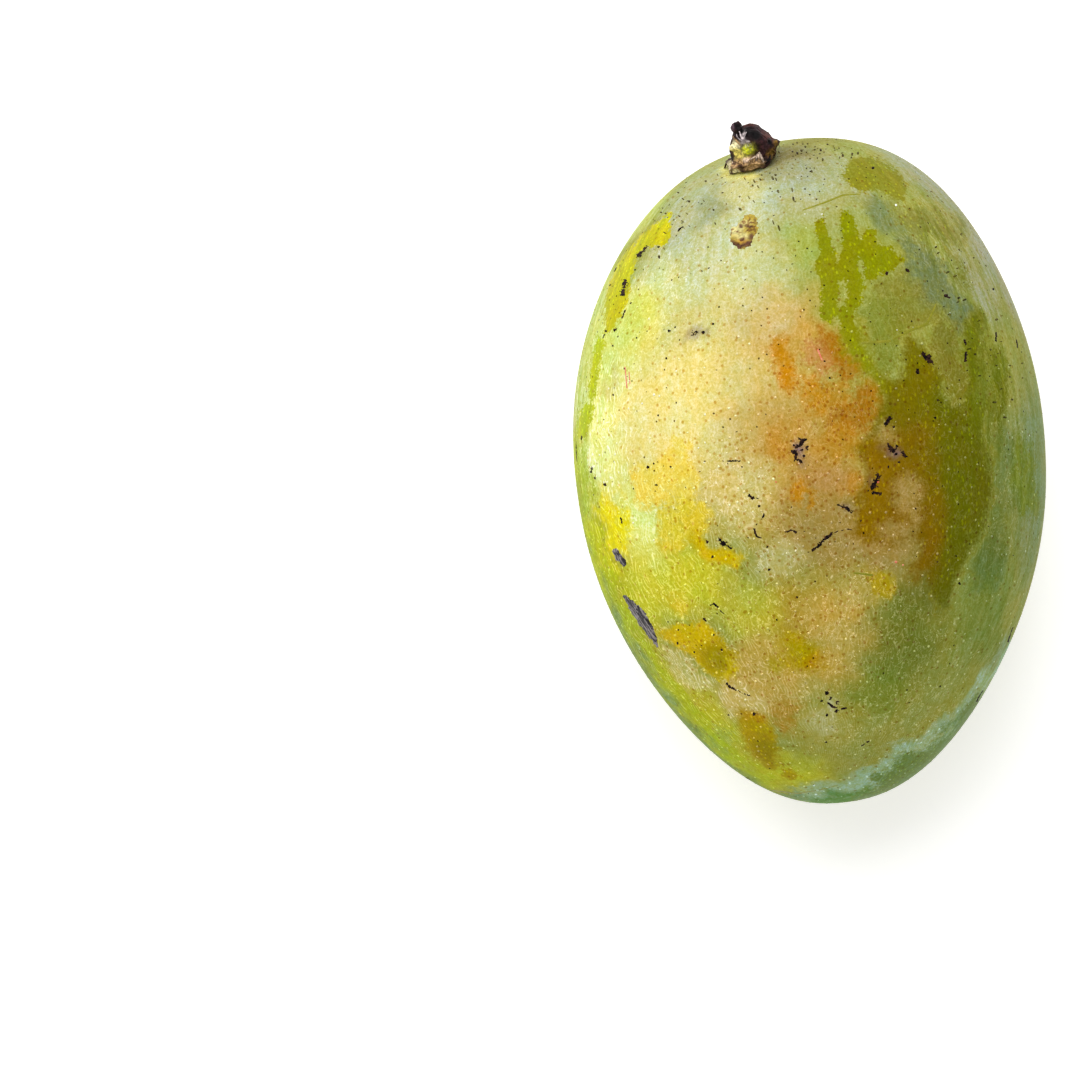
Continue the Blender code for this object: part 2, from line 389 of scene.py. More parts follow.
class Tint(Enum):
    """The colours of the skin, red, green and blue from 0 to 255. Most show the skin as it is in even light,
    but the paler left cheek and the darker right side also hold painted light and painted shade of a light
    from the left, and the tints marked below are painted shade, painted light or painted reflection.
    """

    BLOOM = (144, 148, 65)
    STEM_SAGE = (161, 166, 130)
    PALE_SAGE = (187, 188, 134)
    # Pale tints of the rims: pale bloom with a painted reflection of the bright surroundings
    RIM_PALE_REFLECTION = (182, 195, 104)
    RIM_SAGE_REFLECTION = (152, 154, 125)
    PRIMROSE = (194, 198, 136)
    STRAW = (202, 188, 117)
    CELERY = (226, 234, 146)
    BUTTER = (223, 209, 132)
    PALE_LIME = (216, 228, 131)
    SOFT_LEMON = (199, 204, 1)
    GOLD = (223, 199, 78)
    LEMON = (225, 209, 1)
    SUNFLOWER = (211, 191, 41)
    CITRON = (197, 195, 40)
    DEEP_CITRON = (161, 152, 1)
    PEAR = (184, 187, 32)
    DEEP_PEAR = (172, 155, 40)
    PALE_PEAR = (161, 154, 67)
    SOFT_LIME = (144, 163, 70)
    SAND = (189, 144, 59)
    FAWN = (175, 137, 57)
    DRY_OLIVE = (101, 98, 38)
    # Painted shade of the furrow under the stub, and painted light of the swellings beside it
    FURROW_SHADE = (128, 134, 93)
    RIDGE_LIGHT = (183, 190, 154)
    KHAKI = (153, 129, 66)
    WHEAT = (188, 160, 76)
    CAMEL = (169, 139, 41)
    BLUSH = (191, 175, 119)
    LIME_MIST = (183, 198, 93)
    PINK = (175, 121, 69)
    AMBER = (180, 123, 4)
    DEEP_AMBER = (153, 100, 1)
    APRICOT = (172, 120, 13)
    MUSTARD = (196, 171, 1)
    OCHRE_GOLD = (167, 147, 1)
    MOSS = (105, 114, 35)
    FOREST = (101, 129, 56)
    PICKLE = (103, 126, 33)
    SEA = (117, 136, 89)
    DEEP_SEA = (81, 109, 61)
    GREY_SEA = (1, 74, 1)
    SLATE = (78, 99, 80)
    SAGE = (108, 115, 24)
    CLOUD = (188, 183, 125)
    KHAKI_GREEN = (116, 113, 35)
    # Pale mint: the skin's own colour on a hidden side, and the painted reflection of the floor on the tip's
    # lower face
    MINT = (151, 178, 136)
    # Painted shade of the tip's underside
    TIP_SHADE_GREEN = (96, 136, 63)
    STREAK_LEAF = (114, 126, 31)
    # Painted shade of the tip's underside
    UNDERSIDE_SHADE_GREEN = (107, 131, 66)
    # Painted shade along the edge of the lower left rim
    RIM_SHADE_GREEN = (103, 131, 74)
    RIM_LIME = (165, 182, 1)
    LIME = (125, 128, 1)
    CHARTREUSE = (181, 177, 7)
    BRIGHT_LIME = (174, 186, 1)
    OLIVE_PATCH = (127, 126, 29)
    SOFT_OLIVE = (127, 126, 52)
    STREAK_OLIVE = (107, 113, 1)
    YELLOW_OLIVE = (111, 101, 1)
    GREEN_OLIVE = (102, 108, 1)
    OLIVE = (96, 97, 1)
    BRASS = (132, 98, 1)
    BROWN_OLIVE = (122, 93, 1)
    DUSK = (112, 88, 92)
    RING = (228, 220, 120)
    # Dark olive brown: painted shadow of the stub round its right side, and elsewhere dark stains and a smudge
    SHADOW_AND_STAIN = (88, 70, 20)
    SCAR = (172, 148, 50)
    SCAR_PALE = (212, 204, 138)
    SCAR_BROWN = (84, 42, 34)


@dataclass(frozen=True)
class Dab:
    """One soft touch of the airbrush.

    Its place is a pixel of the picture, or a point in millimetres for the sides that the picture hides.
    Its reach is half its width and half its height as the picture shows it, in millimetres.
    """

    tint: Tint
    at: tuple
    reach: tuple
    strength: float = 1.0
    turn: float = 0.0


@dataclass(frozen=True)
class Patch:
    """A patch with a ragged edge.

    Its outline is the pixels of its corners, across and down in turn. Its softness is in millimetres.
    """

    tint: Optional[Tint]
    outline: tuple
    softness: float = 0.3
    strength: float = 1.0


@dataclass(frozen=True)
class Fold:
    """A furrow or a swelling along a line of pixels. Height in metres, half width in millimetres."""

    path: tuple
    height: float
    half_width: float


FOLDS = (
    Fold(((726, 186), (729, 205), (722, 230), (711, 262), (705, 300), (700, 340)), -0.00050, 2.6),
    Fold(((742, 182), (746, 198), (742, 214), (732, 250), (722, 290)), 0.00035, 2.4),
    Fold(((800, 172), (840, 176), (880, 190)), -0.00020, 3.0),
)

# Where the fine wavy lines, the long streaks, the dark pores, the short flecks and the curls are plainest.
# Each touch has a place, a reach, a strength and a turn, as a dab has
RIPPLE_TOUCHES = (
    ((640, 620), (19, 34), 1.0, 20), ((600, 470), (9, 30), 1.0, 0), ((720, 690), (22, 18), 1.0, 20),
    ((720, 540), (18, 14), 0.6, 0), ((870, 740), (22, 14), 0.5, 0), ((880, 640), (14, 14), 0.5, 0),
    ((930, 230), (10, 9), 0.6, 30), ((960, 480), (8, 26), 0.5, 0),
    ((-20, -20, 10), (40, 50), 0.6, 20),
)
STREAK_TOUCHES = (
    ((965, 265), (8, 24), 0.9, 30), ((1012, 420), (8, 28), 0.95, 8), ((1000, 610), (9, 26), 0.8, -18),
    ((625, 262), (8, 20), 0.8, -35), ((585, 430), (5, 28), 0.8, 0), ((900, 185), (18, 8), 0.6, -20),
    ((700, 250), (10, 14), 0.4, -20), ((20, 0, 5), (40, 60), 0.5, 0),
)
FRECKLE_TOUCHES = (
    ((770, 165), (16, 10), 0.9, 0), ((810, 150), (12, 6), 1.0, 0), ((680, 220), (10, 9), 0.55, 0),
    ((610, 300), (5, 12), 0.5, 0),
)
FLECK_TOUCHES = (
    ((808, 152), (10, 5), 1.0, 0), ((700, 200), (12, 7), 0.35, 0), ((750, 195), (11, 8), 0.45, 0),
    ((985, 330), (6, 22), 0.25, 20),
)
CURL_TOUCHES = (
    ((820, 440), (19, 17), 0.5, 0), ((815, 620), (28, 24), 1.0, 0), ((900, 690), (18, 22), 1.0, 0),
    ((645, 300), (14, 18), 0.6, 0), ((700, 500), (20, 14), 0.8, 0), ((690, 630), (22, 18), 1.0, 0),
    ((1000, 480), (8, 24), 0.6, 0), ((0, -40, 20), (50, 40), 0.6, 0),
    ((945, 470), (9, 26), 0.9, 0),
)

# The broad colours, from the stem end down and then over the hidden sides. Besides the skin's own colours they
# carry painted light, paler on the left cheek and darker towards the right side
GROUND_DABS = (
    Dab(Tint.STEM_SAGE, (760, 185), (20, 11)),
    Dab(Tint.STEM_SAGE, (690, 235), (12, 13)),
    # Pale sage along the upper right rim: bloom with a painted reflection of the bright surroundings
    Dab(Tint.RIM_SAGE_REFLECTION, (930, 175), (14, 8), 0.9, -40),
    Dab(Tint.RIM_SAGE_REFLECTION, (1000, 262), (6, 16), 0.9, 30),
    Dab(Tint.PALE_SAGE, (730, 285), (12, 15)),
    Dab(Tint.PRIMROSE, (655, 300), (8, 9)),
    # The cream, celery and pale lime of the left cheek are painted lighter than the skin's own colour, as
    # painted light from the left
    Dab(Tint.STRAW, (740, 400), (16, 20)),
    Dab(Tint.CELERY, (606, 400), (8, 26)),
    Dab(Tint.SOFT_LEMON, (640, 330), (5, 8), 0.6),
    Dab(Tint.LIME_MIST, (618, 345), (5, 12), 0.8, -12),
    Dab(Tint.BLUSH, (612, 386), (1.6, 3.6), 0.5),
    Dab(Tint.BUTTER, (665, 415), (13, 17)),
    Dab(Tint.PALE_LIME, (640, 535), (6, 10), 0.95),
    Dab(Tint.CITRON, (640, 590), (9, 10), 0.9),
    Dab(Tint.DEEP_CITRON, (607, 560), (5, 10), 0.8),
    Dab(Tint.DEEP_CITRON, (645, 650), (7, 9), 0.6, 30),
    Dab(Tint.PEAR, (700, 720), (7, 15), 0.95, 38),
    Dab(Tint.CITRON, (690, 580), (9, 8), 0.9),
    Dab(Tint.SAND, (788, 328), (8, 7), 0.9),
    Dab(Tint.BLUSH, (765, 318), (7, 6), 0.8),
    Dab(Tint.FAWN, (795, 455), (13, 16), 0.95),
    Dab(Tint.KHAKI, (830, 530), (12, 9), 0.95),
    Dab(Tint.KHAKI, (885, 535), (8, 11), 0.95),
    Dab(Tint.KHAKI, (902, 480), (8, 12), 0.95),
    Dab(Tint.KHAKI, (888, 436), (4, 4), 0.8),
    Dab(Tint.DRY_OLIVE, (925, 592), (6, 6), 0.8),
    Dab(Tint.STRAW, (735, 490), (8, 9), 0.8),
    # Painted shade along the furrow under the stub, and painted light on the swellings beside it
    Dab(Tint.FURROW_SHADE, (713, 207), (3.2, 6.5), 0.6, -22),
    Dab(Tint.RIDGE_LIGHT, (752, 206), (3.5, 6.5), 0.7, -10),
    Dab(Tint.RIDGE_LIGHT, (728, 252), (3.0, 6.0), 0.6, -25),
    Dab(Tint.PINK, (825, 478), (6, 4), 0.45),
    Dab(Tint.CAMEL, (800, 610), (9, 7), 0.7),
    Dab(Tint.WHEAT, (845, 620), (8, 9), 0.9),
    Dab(Tint.CITRON, (752, 618), (6, 7), 0.5),
    Dab(Tint.WHEAT, (770, 672), (10, 7), 0.9),
    Dab(Tint.WHEAT, (745, 700), (8, 5), 0.8),
    Dab(Tint.WHEAT, (835, 670), (6, 5), 0.7),
    Dab(Tint.PALE_PEAR, (830, 725), (7, 7), 0.9),
    Dab(Tint.PEAR, (790, 775), (9, 5), 0.9),
    Dab(Tint.MOSS, (905, 640), (9, 12), 0.9),
    Dab(Tint.PICKLE, (875, 690), (7, 6), 0.6),
    Dab(Tint.FOREST, (985, 610), (7, 14), 0.6),
    Dab(Tint.SEA, (1036, 480), (6, 22), 0.9),
    Dab(Tint.SEA, (1000, 660), (5, 7), 0.6),
    Dab(Tint.SEA, (1000, 430), (3, 9), 0.5, 8),
    Dab(Tint.GREY_SEA, (990, 540), (4, 9), 0.4),
    Dab(Tint.SOFT_LIME, (800, 245), (4, 7), 0.6),
    Dab(Tint.SAGE, (992, 430), (4.5, 15), 0.8, 6),
    Dab(Tint.SAGE, (965, 350), (5, 9), 0.6),
    # Round the stub
    Dab(Tint.PALE_SAGE, (742, 190), (5, 4), 0.7),
    Dab(Tint.RING, (743, 172), (5.2, 2.6), 0.45),
    Dab(Tint.RING, (742, 172), (4.2, 1.6), 0.6),
    Dab(Tint.RING, (728, 170), (1.8, 2.2), 0.6),
    # Painted shadow of the stub on the skin to its right and along the rim beside it
    Dab(Tint.SHADOW_AND_STAIN, (784, 154), (6.0, 3.0), 0.6),
    Dab(Tint.SHADOW_AND_STAIN, (800, 165), (8.0, 5.0), 0.25),
    Dab(Tint.SHADOW_AND_STAIN, (815, 142), (7.0, 1.8), 0.35),
    # Pale sage on the right rim: bloom with a painted reflection of the bright surroundings
    Dab(Tint.RIM_SAGE_REFLECTION, (978, 285), (3.5, 9), 0.6, 30),
    Dab(Tint.SLATE, (882, 216), (3.0, 7), 0.55, 38),
    # The pale rim of the upper left side: pale bloom with a painted reflection of the bright surroundings
    Dab(Tint.RIM_PALE_REFLECTION, (640, 215), (4, 8), 0.8, -45),
    Dab(Tint.RIM_PALE_REFLECTION, (602, 290), (3, 9), 0.8, -22),
    Dab(Tint.RIM_PALE_REFLECTION, (585, 365), (2.5, 9), 0.8, -12),
    # Painted reflection of the floor: a pale mint band on the tip's lower face
    Dab(Tint.MINT, (850, 790), (11, 3.4), 0.9, 18),
    Dab(Tint.MINT, (905, 762), (8, 2.6), 0.9, 32),
    # Stains round the sap marks
    Dab(Tint.DUSK, (799, 446), (1.9, 1.8), 0.85),
    Dab(Tint.DUSK, (800, 460), (1.2, 1.6), 0.4),
    Dab(Tint.DUSK, (875, 484), (1.2, 1.6), 0.5),
    Dab(Tint.DUSK, (847, 508), (1.1, 0.8), 0.5),
    Dab(Tint.DUSK, (697, 332), (1.4, 1.0), 0.5),
    Dab(Tint.PALE_SAGE, (832, 703), (1.6, 2.0), 0.7),
    Dab(Tint.SHADOW_AND_STAIN, (769, 766), (1.9, 0.9), 0.5),
    Dab(Tint.DUSK, (790, 532), (1.2, 0.8), 0.35),
    # The sides that the picture hides
    Dab(Tint.PALE_PEAR, (-38, 5, 18), (18, 26), 0.7),
    Dab(Tint.CITRON, (-20, 22, 2), (15, 16), 0.7),
    Dab(Tint.STRAW, (8, 4, 0), (20, 24), 0.7),
    Dab(Tint.GOLD, (20, -12, 2), (12, 11), 0.5),
    Dab(Tint.PEAR, (-14, -38, 8), (15, 14), 0.7),
    Dab(Tint.SEA, (30, 34, 12), (12, 14), 0.7),
    Dab(Tint.MOSS, (38, -8, 15), (10, 22), 0.7),
    Dab(Tint.STEM_SAGE, (2, 60, 14), (22, 14), 0.9),
    Dab(Tint.MINT, (10, -58, 16), (12, 10), 0.7),
)

# The colours of the rubbed places of the hidden sides
HIDDEN_DABS = (
    Dab(Tint.OLIVE_PATCH, (36, 10, 14), (22, 34), 0.95),
    Dab(Tint.SOFT_OLIVE, (32, -42, 16), (24, 24), 0.95),
    Dab(Tint.CHARTREUSE, (-36, 24, 14), (20, 26), 0.8),
    Dab(Tint.LIME, (-24, -34, 14), (20, 22), 0.8),
    Dab(Tint.YELLOW_OLIVE, (8, -14, 0), (16, 18), 0.6),
    Dab(Tint.SOFT_OLIVE, (4, 52, 10), (20, 16), 0.8),
)

# Patches where the bloom changes colour, with granular edges; the bands at the tip and along the lower left
# rim are painted reflection and painted shade
TINGED_PATCHES = (
    Patch(Tint.SLATE, (900, 244, 912, 240, 928, 244, 946, 262, 959, 285, 966, 312, 962, 332, 948, 322, 934,
          308, 918, 290, 908, 272), 2.6, 0.65),
    Patch(Tint.SAGE, (853, 315, 870, 300, 895, 300, 905, 325, 900, 338, 893, 345, 896, 360, 893, 374, 884,
          373, 875, 362, 866, 345, 860, 332), 2.2, 0.7),
    Patch(Tint.KHAKI_GREEN, (935, 318, 948, 322, 956, 345, 961, 366, 964, 400, 958, 404, 950, 392, 940, 372,
          935, 350, 930, 330), 1.4),
    Patch(Tint.KHAKI_GREEN, (872, 284, 890, 276, 908, 270, 925, 292, 938, 312, 930, 320, 912, 324, 900, 322,
          895, 300, 878, 298), 2.0, 0.7),
    Patch(Tint.SOFT_OLIVE, (948, 240, 954, 250, 962, 268, 974, 286, 968, 290, 956, 272, 947, 252), 1.6),
    Patch(Tint.STREAK_OLIVE, (994, 345, 1004, 356, 1010, 380, 1009, 405, 1002, 424, 996, 420, 994, 395, 992,
          368), 1.6),
    Patch(Tint.STREAK_LEAF, (1018, 440, 1028, 444, 1034, 470, 1036, 505, 1028, 522, 1018, 512, 1012, 482,
          1013, 456), 1.6),
    Patch(Tint.DEEP_SEA, (992, 470, 1008, 430, 1014, 440, 1010, 470, 1014, 510, 1006, 560, 985, 590, 968,
          596, 975, 560, 990, 520), 2.6, 0.4),
    Patch(Tint.AMBER, (775, 345, 783, 337, 795, 339, 801, 350, 800, 368, 796, 384, 786, 393, 777, 386, 773,
          365), 2.0),
    Patch(Tint.DEEP_AMBER, (820, 322, 830, 336, 845, 342, 856, 355, 866, 366, 858, 380, 844, 377, 834, 366,
          828, 352, 818, 338), 2.2),
    Patch(Tint.DEEP_AMBER, (834, 402, 850, 394, 866, 384, 882, 394, 886, 410, 873, 426, 856, 429, 841, 433,
          829, 420), 2.4, 0.95),
    Patch(Tint.AMBER, (800, 384, 814, 378, 827, 390, 820, 408, 808, 404), 2.0, 0.95),
    Patch(Tint.PINK, (809, 342, 818, 340, 827, 350, 830, 366, 820, 376, 811, 364), 1.2, 0.8),
    Patch(Tint.APRICOT, (820, 384, 834, 378, 848, 384, 846, 396, 832, 404, 824, 412, 812, 408), 1.8, 0.7),
    Patch(Tint.APRICOT, (768, 432, 780, 428, 788, 445, 784, 462, 772, 458, 764, 445), 2.2, 0.6),
    Patch(Tint.APRICOT, (824, 428, 850, 432, 872, 440, 868, 452, 846, 452, 834, 462, 820, 448), 2.2, 0.8),
    Patch(Tint.APRICOT, (846, 468, 858, 470, 862, 486, 852, 496, 842, 486), 1.8, 0.7),
    Patch(Tint.AMBER, (794, 482, 802, 480, 806, 490, 800, 500, 794, 496), 1.0, 0.9),
    Patch(Tint.APRICOT, (810, 494, 818, 496, 816, 506, 810, 506), 1.0, 0.9),
    Patch(Tint.GOLD, (632, 476, 645, 465, 660, 460, 672, 440, 680, 434, 692, 440, 690, 460, 700, 476, 698,
          496, 688, 506, 672, 500, 655, 506, 640, 503, 632, 490), 1.6),
    Patch(Tint.SUNFLOWER, (664, 504, 684, 500, 706, 512, 708, 530, 694, 538, 676, 548, 664, 556, 656, 540,
          658, 520), 2.0, 0.9),
    Patch(Tint.LEMON, (600, 492, 610, 494, 620, 510, 630, 522, 630, 540, 622, 548, 610, 545, 602, 525, 597,
          505), 2.2),
    Patch(Tint.LEMON, (590, 520, 600, 530, 612, 556, 620, 580, 610, 582, 598, 562, 588, 540), 1.4),
    Patch(Tint.SUNFLOWER, (672, 600, 680, 598, 686, 608, 678, 616, 670, 610), 1.6, 0.8),
    Patch(Tint.CLOUD, (764, 548, 780, 540, 796, 548, 802, 562, 796, 578, 778, 584, 764, 576, 758,
          562), 3.0, 0.6),
    Patch(Tint.OCHRE_GOLD, (868, 578, 880, 572, 892, 574, 894, 590, 886, 602, 874, 598), 1.6, 0.9),
    Patch(Tint.APRICOT, (766, 702, 784, 700, 800, 706, 798, 720, 784, 726, 770, 718), 2.4, 0.6),
    Patch(Tint.STRAW, (660, 650, 680, 656, 696, 670, 708, 682, 706, 696, 690, 694, 674, 680, 660,
          664), 1.8, 0.7),
    Patch(Tint.STRAW, (716, 686, 740, 690, 760, 700, 752, 716, 734, 716, 718, 704), 1.8, 0.7),
    Patch(Tint.CLOUD, (812, 712, 828, 712, 838, 722, 832, 738, 816, 738, 808, 724), 2.6, 0.5),
    Patch(Tint.DEEP_PEAR, (644, 640, 656, 650, 668, 668, 686, 694, 704, 706, 700, 722, 684, 716, 664, 692,
          648, 664, 638, 648), 1.6, 0.9),
    Patch(Tint.SOFT_LIME, (700, 726, 716, 722, 732, 738, 736, 756, 722, 758, 704, 742), 1.2, 0.6),
    # Bands at the tip: a pale mint band of painted reflection of the floor, and below it a darker green band
    # of painted shade on the underside
    Patch(Tint.MINT, (797, 795, 820, 789, 838, 783, 856, 773, 872, 762, 905, 747, 930, 733, 952, 713, 985,
          680, 1010, 645, 1030, 640, 1010, 690, 960, 760, 900, 810, 840, 825, 800, 820, 780, 803), 1.8),
    Patch(Tint.TIP_SHADE_GREEN, (800, 806, 830, 796, 850, 796, 868, 788, 870, 815, 830, 822, 800, 818), 1.0),
    # The rim on the shaded lower left side: a saturated lime band, partly painted shade, and at its edge a
    # darker green band of painted shade
    Patch(Tint.RIM_LIME, (570, 425, 582, 430, 590, 475, 598, 520, 608, 558, 622, 596, 640, 632, 664, 668,
          690, 702, 716, 734, 745, 762, 775, 784, 770, 800, 720, 780, 650, 715, 600, 640, 570, 560, 565,
          480), 2.4, 0.8),
    Patch(Tint.RIM_SHADE_GREEN, (572, 520, 582, 552, 596, 590, 612, 618, 634, 652, 658, 688, 686, 722, 714, 750,
          744, 776, 775, 794, 800, 800, 790, 830, 690, 790, 600, 690, 550, 560, 560, 500), 1.2, 0.8),
)

RUBBED_DABS = (
    Dab(Tint.BRASS, (878, 500), (9, 15), 0.95),
    Dab(Tint.BROWN_OLIVE, (918, 540), (6, 12), 0.9),
    Dab(Tint.BROWN_OLIVE, (915, 450), (5, 9), 0.8),
    Dab(Tint.YELLOW_OLIVE, (912, 375), (8, 10), 0.9),
    Dab(Tint.GREEN_OLIVE, (975, 360), (4, 14), 0.9),
    Dab(Tint.YELLOW_OLIVE, (716, 657), (4, 4.5), 0.6, 30),
    Dab(Tint.YELLOW_OLIVE, (768, 750), (4, 4), 0.5),
    Dab(Tint.AMBER, (752, 716), (3, 2.5), 0.5),
    Dab(Tint.AMBER, (816, 662), (3, 2.5), 0.5),
    Dab(Tint.DUSK, (894, 451), (2.0, 1.5), 0.7),
    Dab(Tint.SHADOW_AND_STAIN, (626, 287), (1.2, 2.0), 0.6),
    Dab(Tint.SHADOW_AND_STAIN, (641, 253), (1.8, 1.0), 0.5, 30),
    Dab(Tint.DUSK, (876, 484), (1.3, 1.7), 0.6),
)

# Places where the bloom has been rubbed off, with clear edges, and at the end the tip's underside painted
# darker as shade
RUBBED_PATCHES = (
    # Where a hand has wiped the right shoulder
    Patch(Tint.LIME, (815, 218, 825, 216, 828, 228, 832, 242, 838, 262, 841, 250, 842, 236, 840, 222, 842,
          211, 850, 213, 853, 222, 857, 234, 861, 239, 865, 231, 868, 226, 874, 229, 878, 241, 881, 247,
          892, 246, 895, 254, 906, 259, 899, 264, 894, 271, 885, 273, 876, 278, 868, 281, 863, 290, 863,
          301, 857, 307, 853, 315, 857, 327, 862, 337, 850, 340, 838, 334, 828, 323, 820, 318, 822, 306,
          819, 296, 822, 285, 817, 274, 816, 262, 820, 248, 815, 236), 0.25),
    Patch(Tint.LIME, (848, 322, 857, 327, 862, 337, 866, 350, 873, 360, 880, 374, 892, 378, 905, 374, 915,
          385, 905, 402, 882, 400, 868, 384, 856, 364, 846, 350, 838, 336), 1.8),
    Patch(Tint.OLIVE_PATCH, (841, 173, 850, 163, 858, 157, 872, 156, 884, 161, 896, 169, 904, 178, 907, 190,
          902, 201, 893, 200, 882, 192, 868, 191, 855, 190, 846, 184), 0.4),
    Patch(Tint.SOFT_OLIVE, (887, 201, 905, 203, 925, 205, 940, 212, 956, 221, 965, 235, 959, 250, 948, 243,
          934, 238, 918, 242, 908, 236, 896, 221), 1.8),
    Patch(Tint.CHARTREUSE, (671, 212, 670, 237, 661, 247, 646, 249, 637, 254, 635, 270, 631, 283, 629, 296,
          625, 306, 620, 316, 614, 328, 605, 336, 604, 315, 606, 300, 610, 282, 619, 262, 634, 244, 651,
          226), 0.3),
    Patch(Tint.BRIGHT_LIME, (597, 335, 607, 340, 603, 352, 602, 366, 597, 384, 597, 396, 590, 400, 588, 382,
          592, 360), 0.3),
    Patch(Tint.BRIGHT_LIME, (581, 402, 593, 401, 595, 415, 589, 428, 585, 440, 577, 438, 578, 418), 0.3),
    # The broad worn side
    Patch(Tint.OLIVE, (901, 374, 900, 352, 904, 340, 911, 335, 919, 336, 925, 342, 933, 353, 936, 368, 944,
          380, 955, 404, 962, 406, 966, 385, 964, 350, 966, 324, 969, 308, 976, 312, 983, 330, 986, 350,
          986, 378, 981, 396, 983, 420, 983, 440, 988, 462, 991, 486, 988, 506, 978, 521, 972, 545, 967,
          566, 960, 580, 950, 592, 944, 606, 938, 592, 928, 584, 914, 578, 907, 566, 911, 548, 905, 532,
          890, 546, 872, 544, 858, 534, 852, 522, 858, 510, 850, 498, 862, 488, 872, 474, 864, 458, 856,
          448, 868, 436, 872, 424, 880, 414, 888, 400), 1.7),
    # Worn places of the lower left
    Patch(Tint.MUSTARD, (655, 632, 668, 630, 684, 622, 700, 620, 712, 628, 722, 640, 735, 655, 742, 668,
          735, 679, 722, 681, 708, 675, 700, 665, 690, 655, 678, 650, 665, 642), 0.8),
    Patch(Tint.OCHRE_GOLD, (785, 631, 800, 632, 812, 640, 821, 652, 826, 667, 815, 675, 800, 672, 786, 671,
          777, 659, 776, 645), 1.8),
    Patch(Tint.OCHRE_GOLD, (740, 706, 757, 712, 775, 735, 786, 748, 784, 762, 770, 769, 755, 760, 745, 745,
          738, 727), 1.5),
    Patch(Tint.MUSTARD, (689, 535, 702, 532, 712, 546, 730, 550, 746, 552, 742, 565, 722, 568, 702, 562,
          694, 550), 1.4),
    Patch(Tint.OCHRE_GOLD, (784, 765, 797, 768, 802, 777, 792, 782, 784, 776), 0.5),
    # The underside of the tip, painted darker green as shade
    Patch(Tint.UNDERSIDE_SHADE_GREEN, (851, 803, 866, 790, 876, 783, 876, 773, 886, 768, 905, 757, 928, 746, 950, 722, 985,
          690, 975, 730, 940, 770, 918, 790, 895, 808, 870, 818, 850, 818), 1.2),
)

# Bloom that is left within the rubbed patches
KEPT_PATCHES = (
    Patch(None, (893, 486, 900, 479, 910, 474, 918, 480, 922, 492, 916, 505, 920, 520, 914, 524, 908, 511,
          899, 512, 894, 500), 0.5),
    Patch(None, (878, 527, 890, 522, 905, 522, 916, 527, 910, 537, 898, 536, 888, 541, 881, 534), 0.5),
    Patch(None, (884, 424, 893, 430, 896, 440, 886, 441, 876, 436, 878, 426), 0.5),
    Patch(None, (840, 281, 846, 281, 847, 293, 845, 305, 838, 310, 837, 302, 840, 292), 0.3),
    Patch(None, (832, 318, 838, 317, 841, 326, 837, 334, 832, 326), 0.3),
    Patch(None, (860, 258, 864, 260, 865, 276, 867, 286, 862, 280, 860, 268), 0.3),
    Patch(None, (640, 252, 652, 252, 660, 248, 662, 258, 650, 266, 640, 268), 0.4),
)
class MarkKind(Enum):
    """The kinds of mark on the skin."""

    INK = "ink_spots"
    SCAB = "silver_scabs"
    CORK = "cork_scar"
    RUST = "rust_flecks"
    PALE = "pale_dots"
    WORN = "worn_lines"


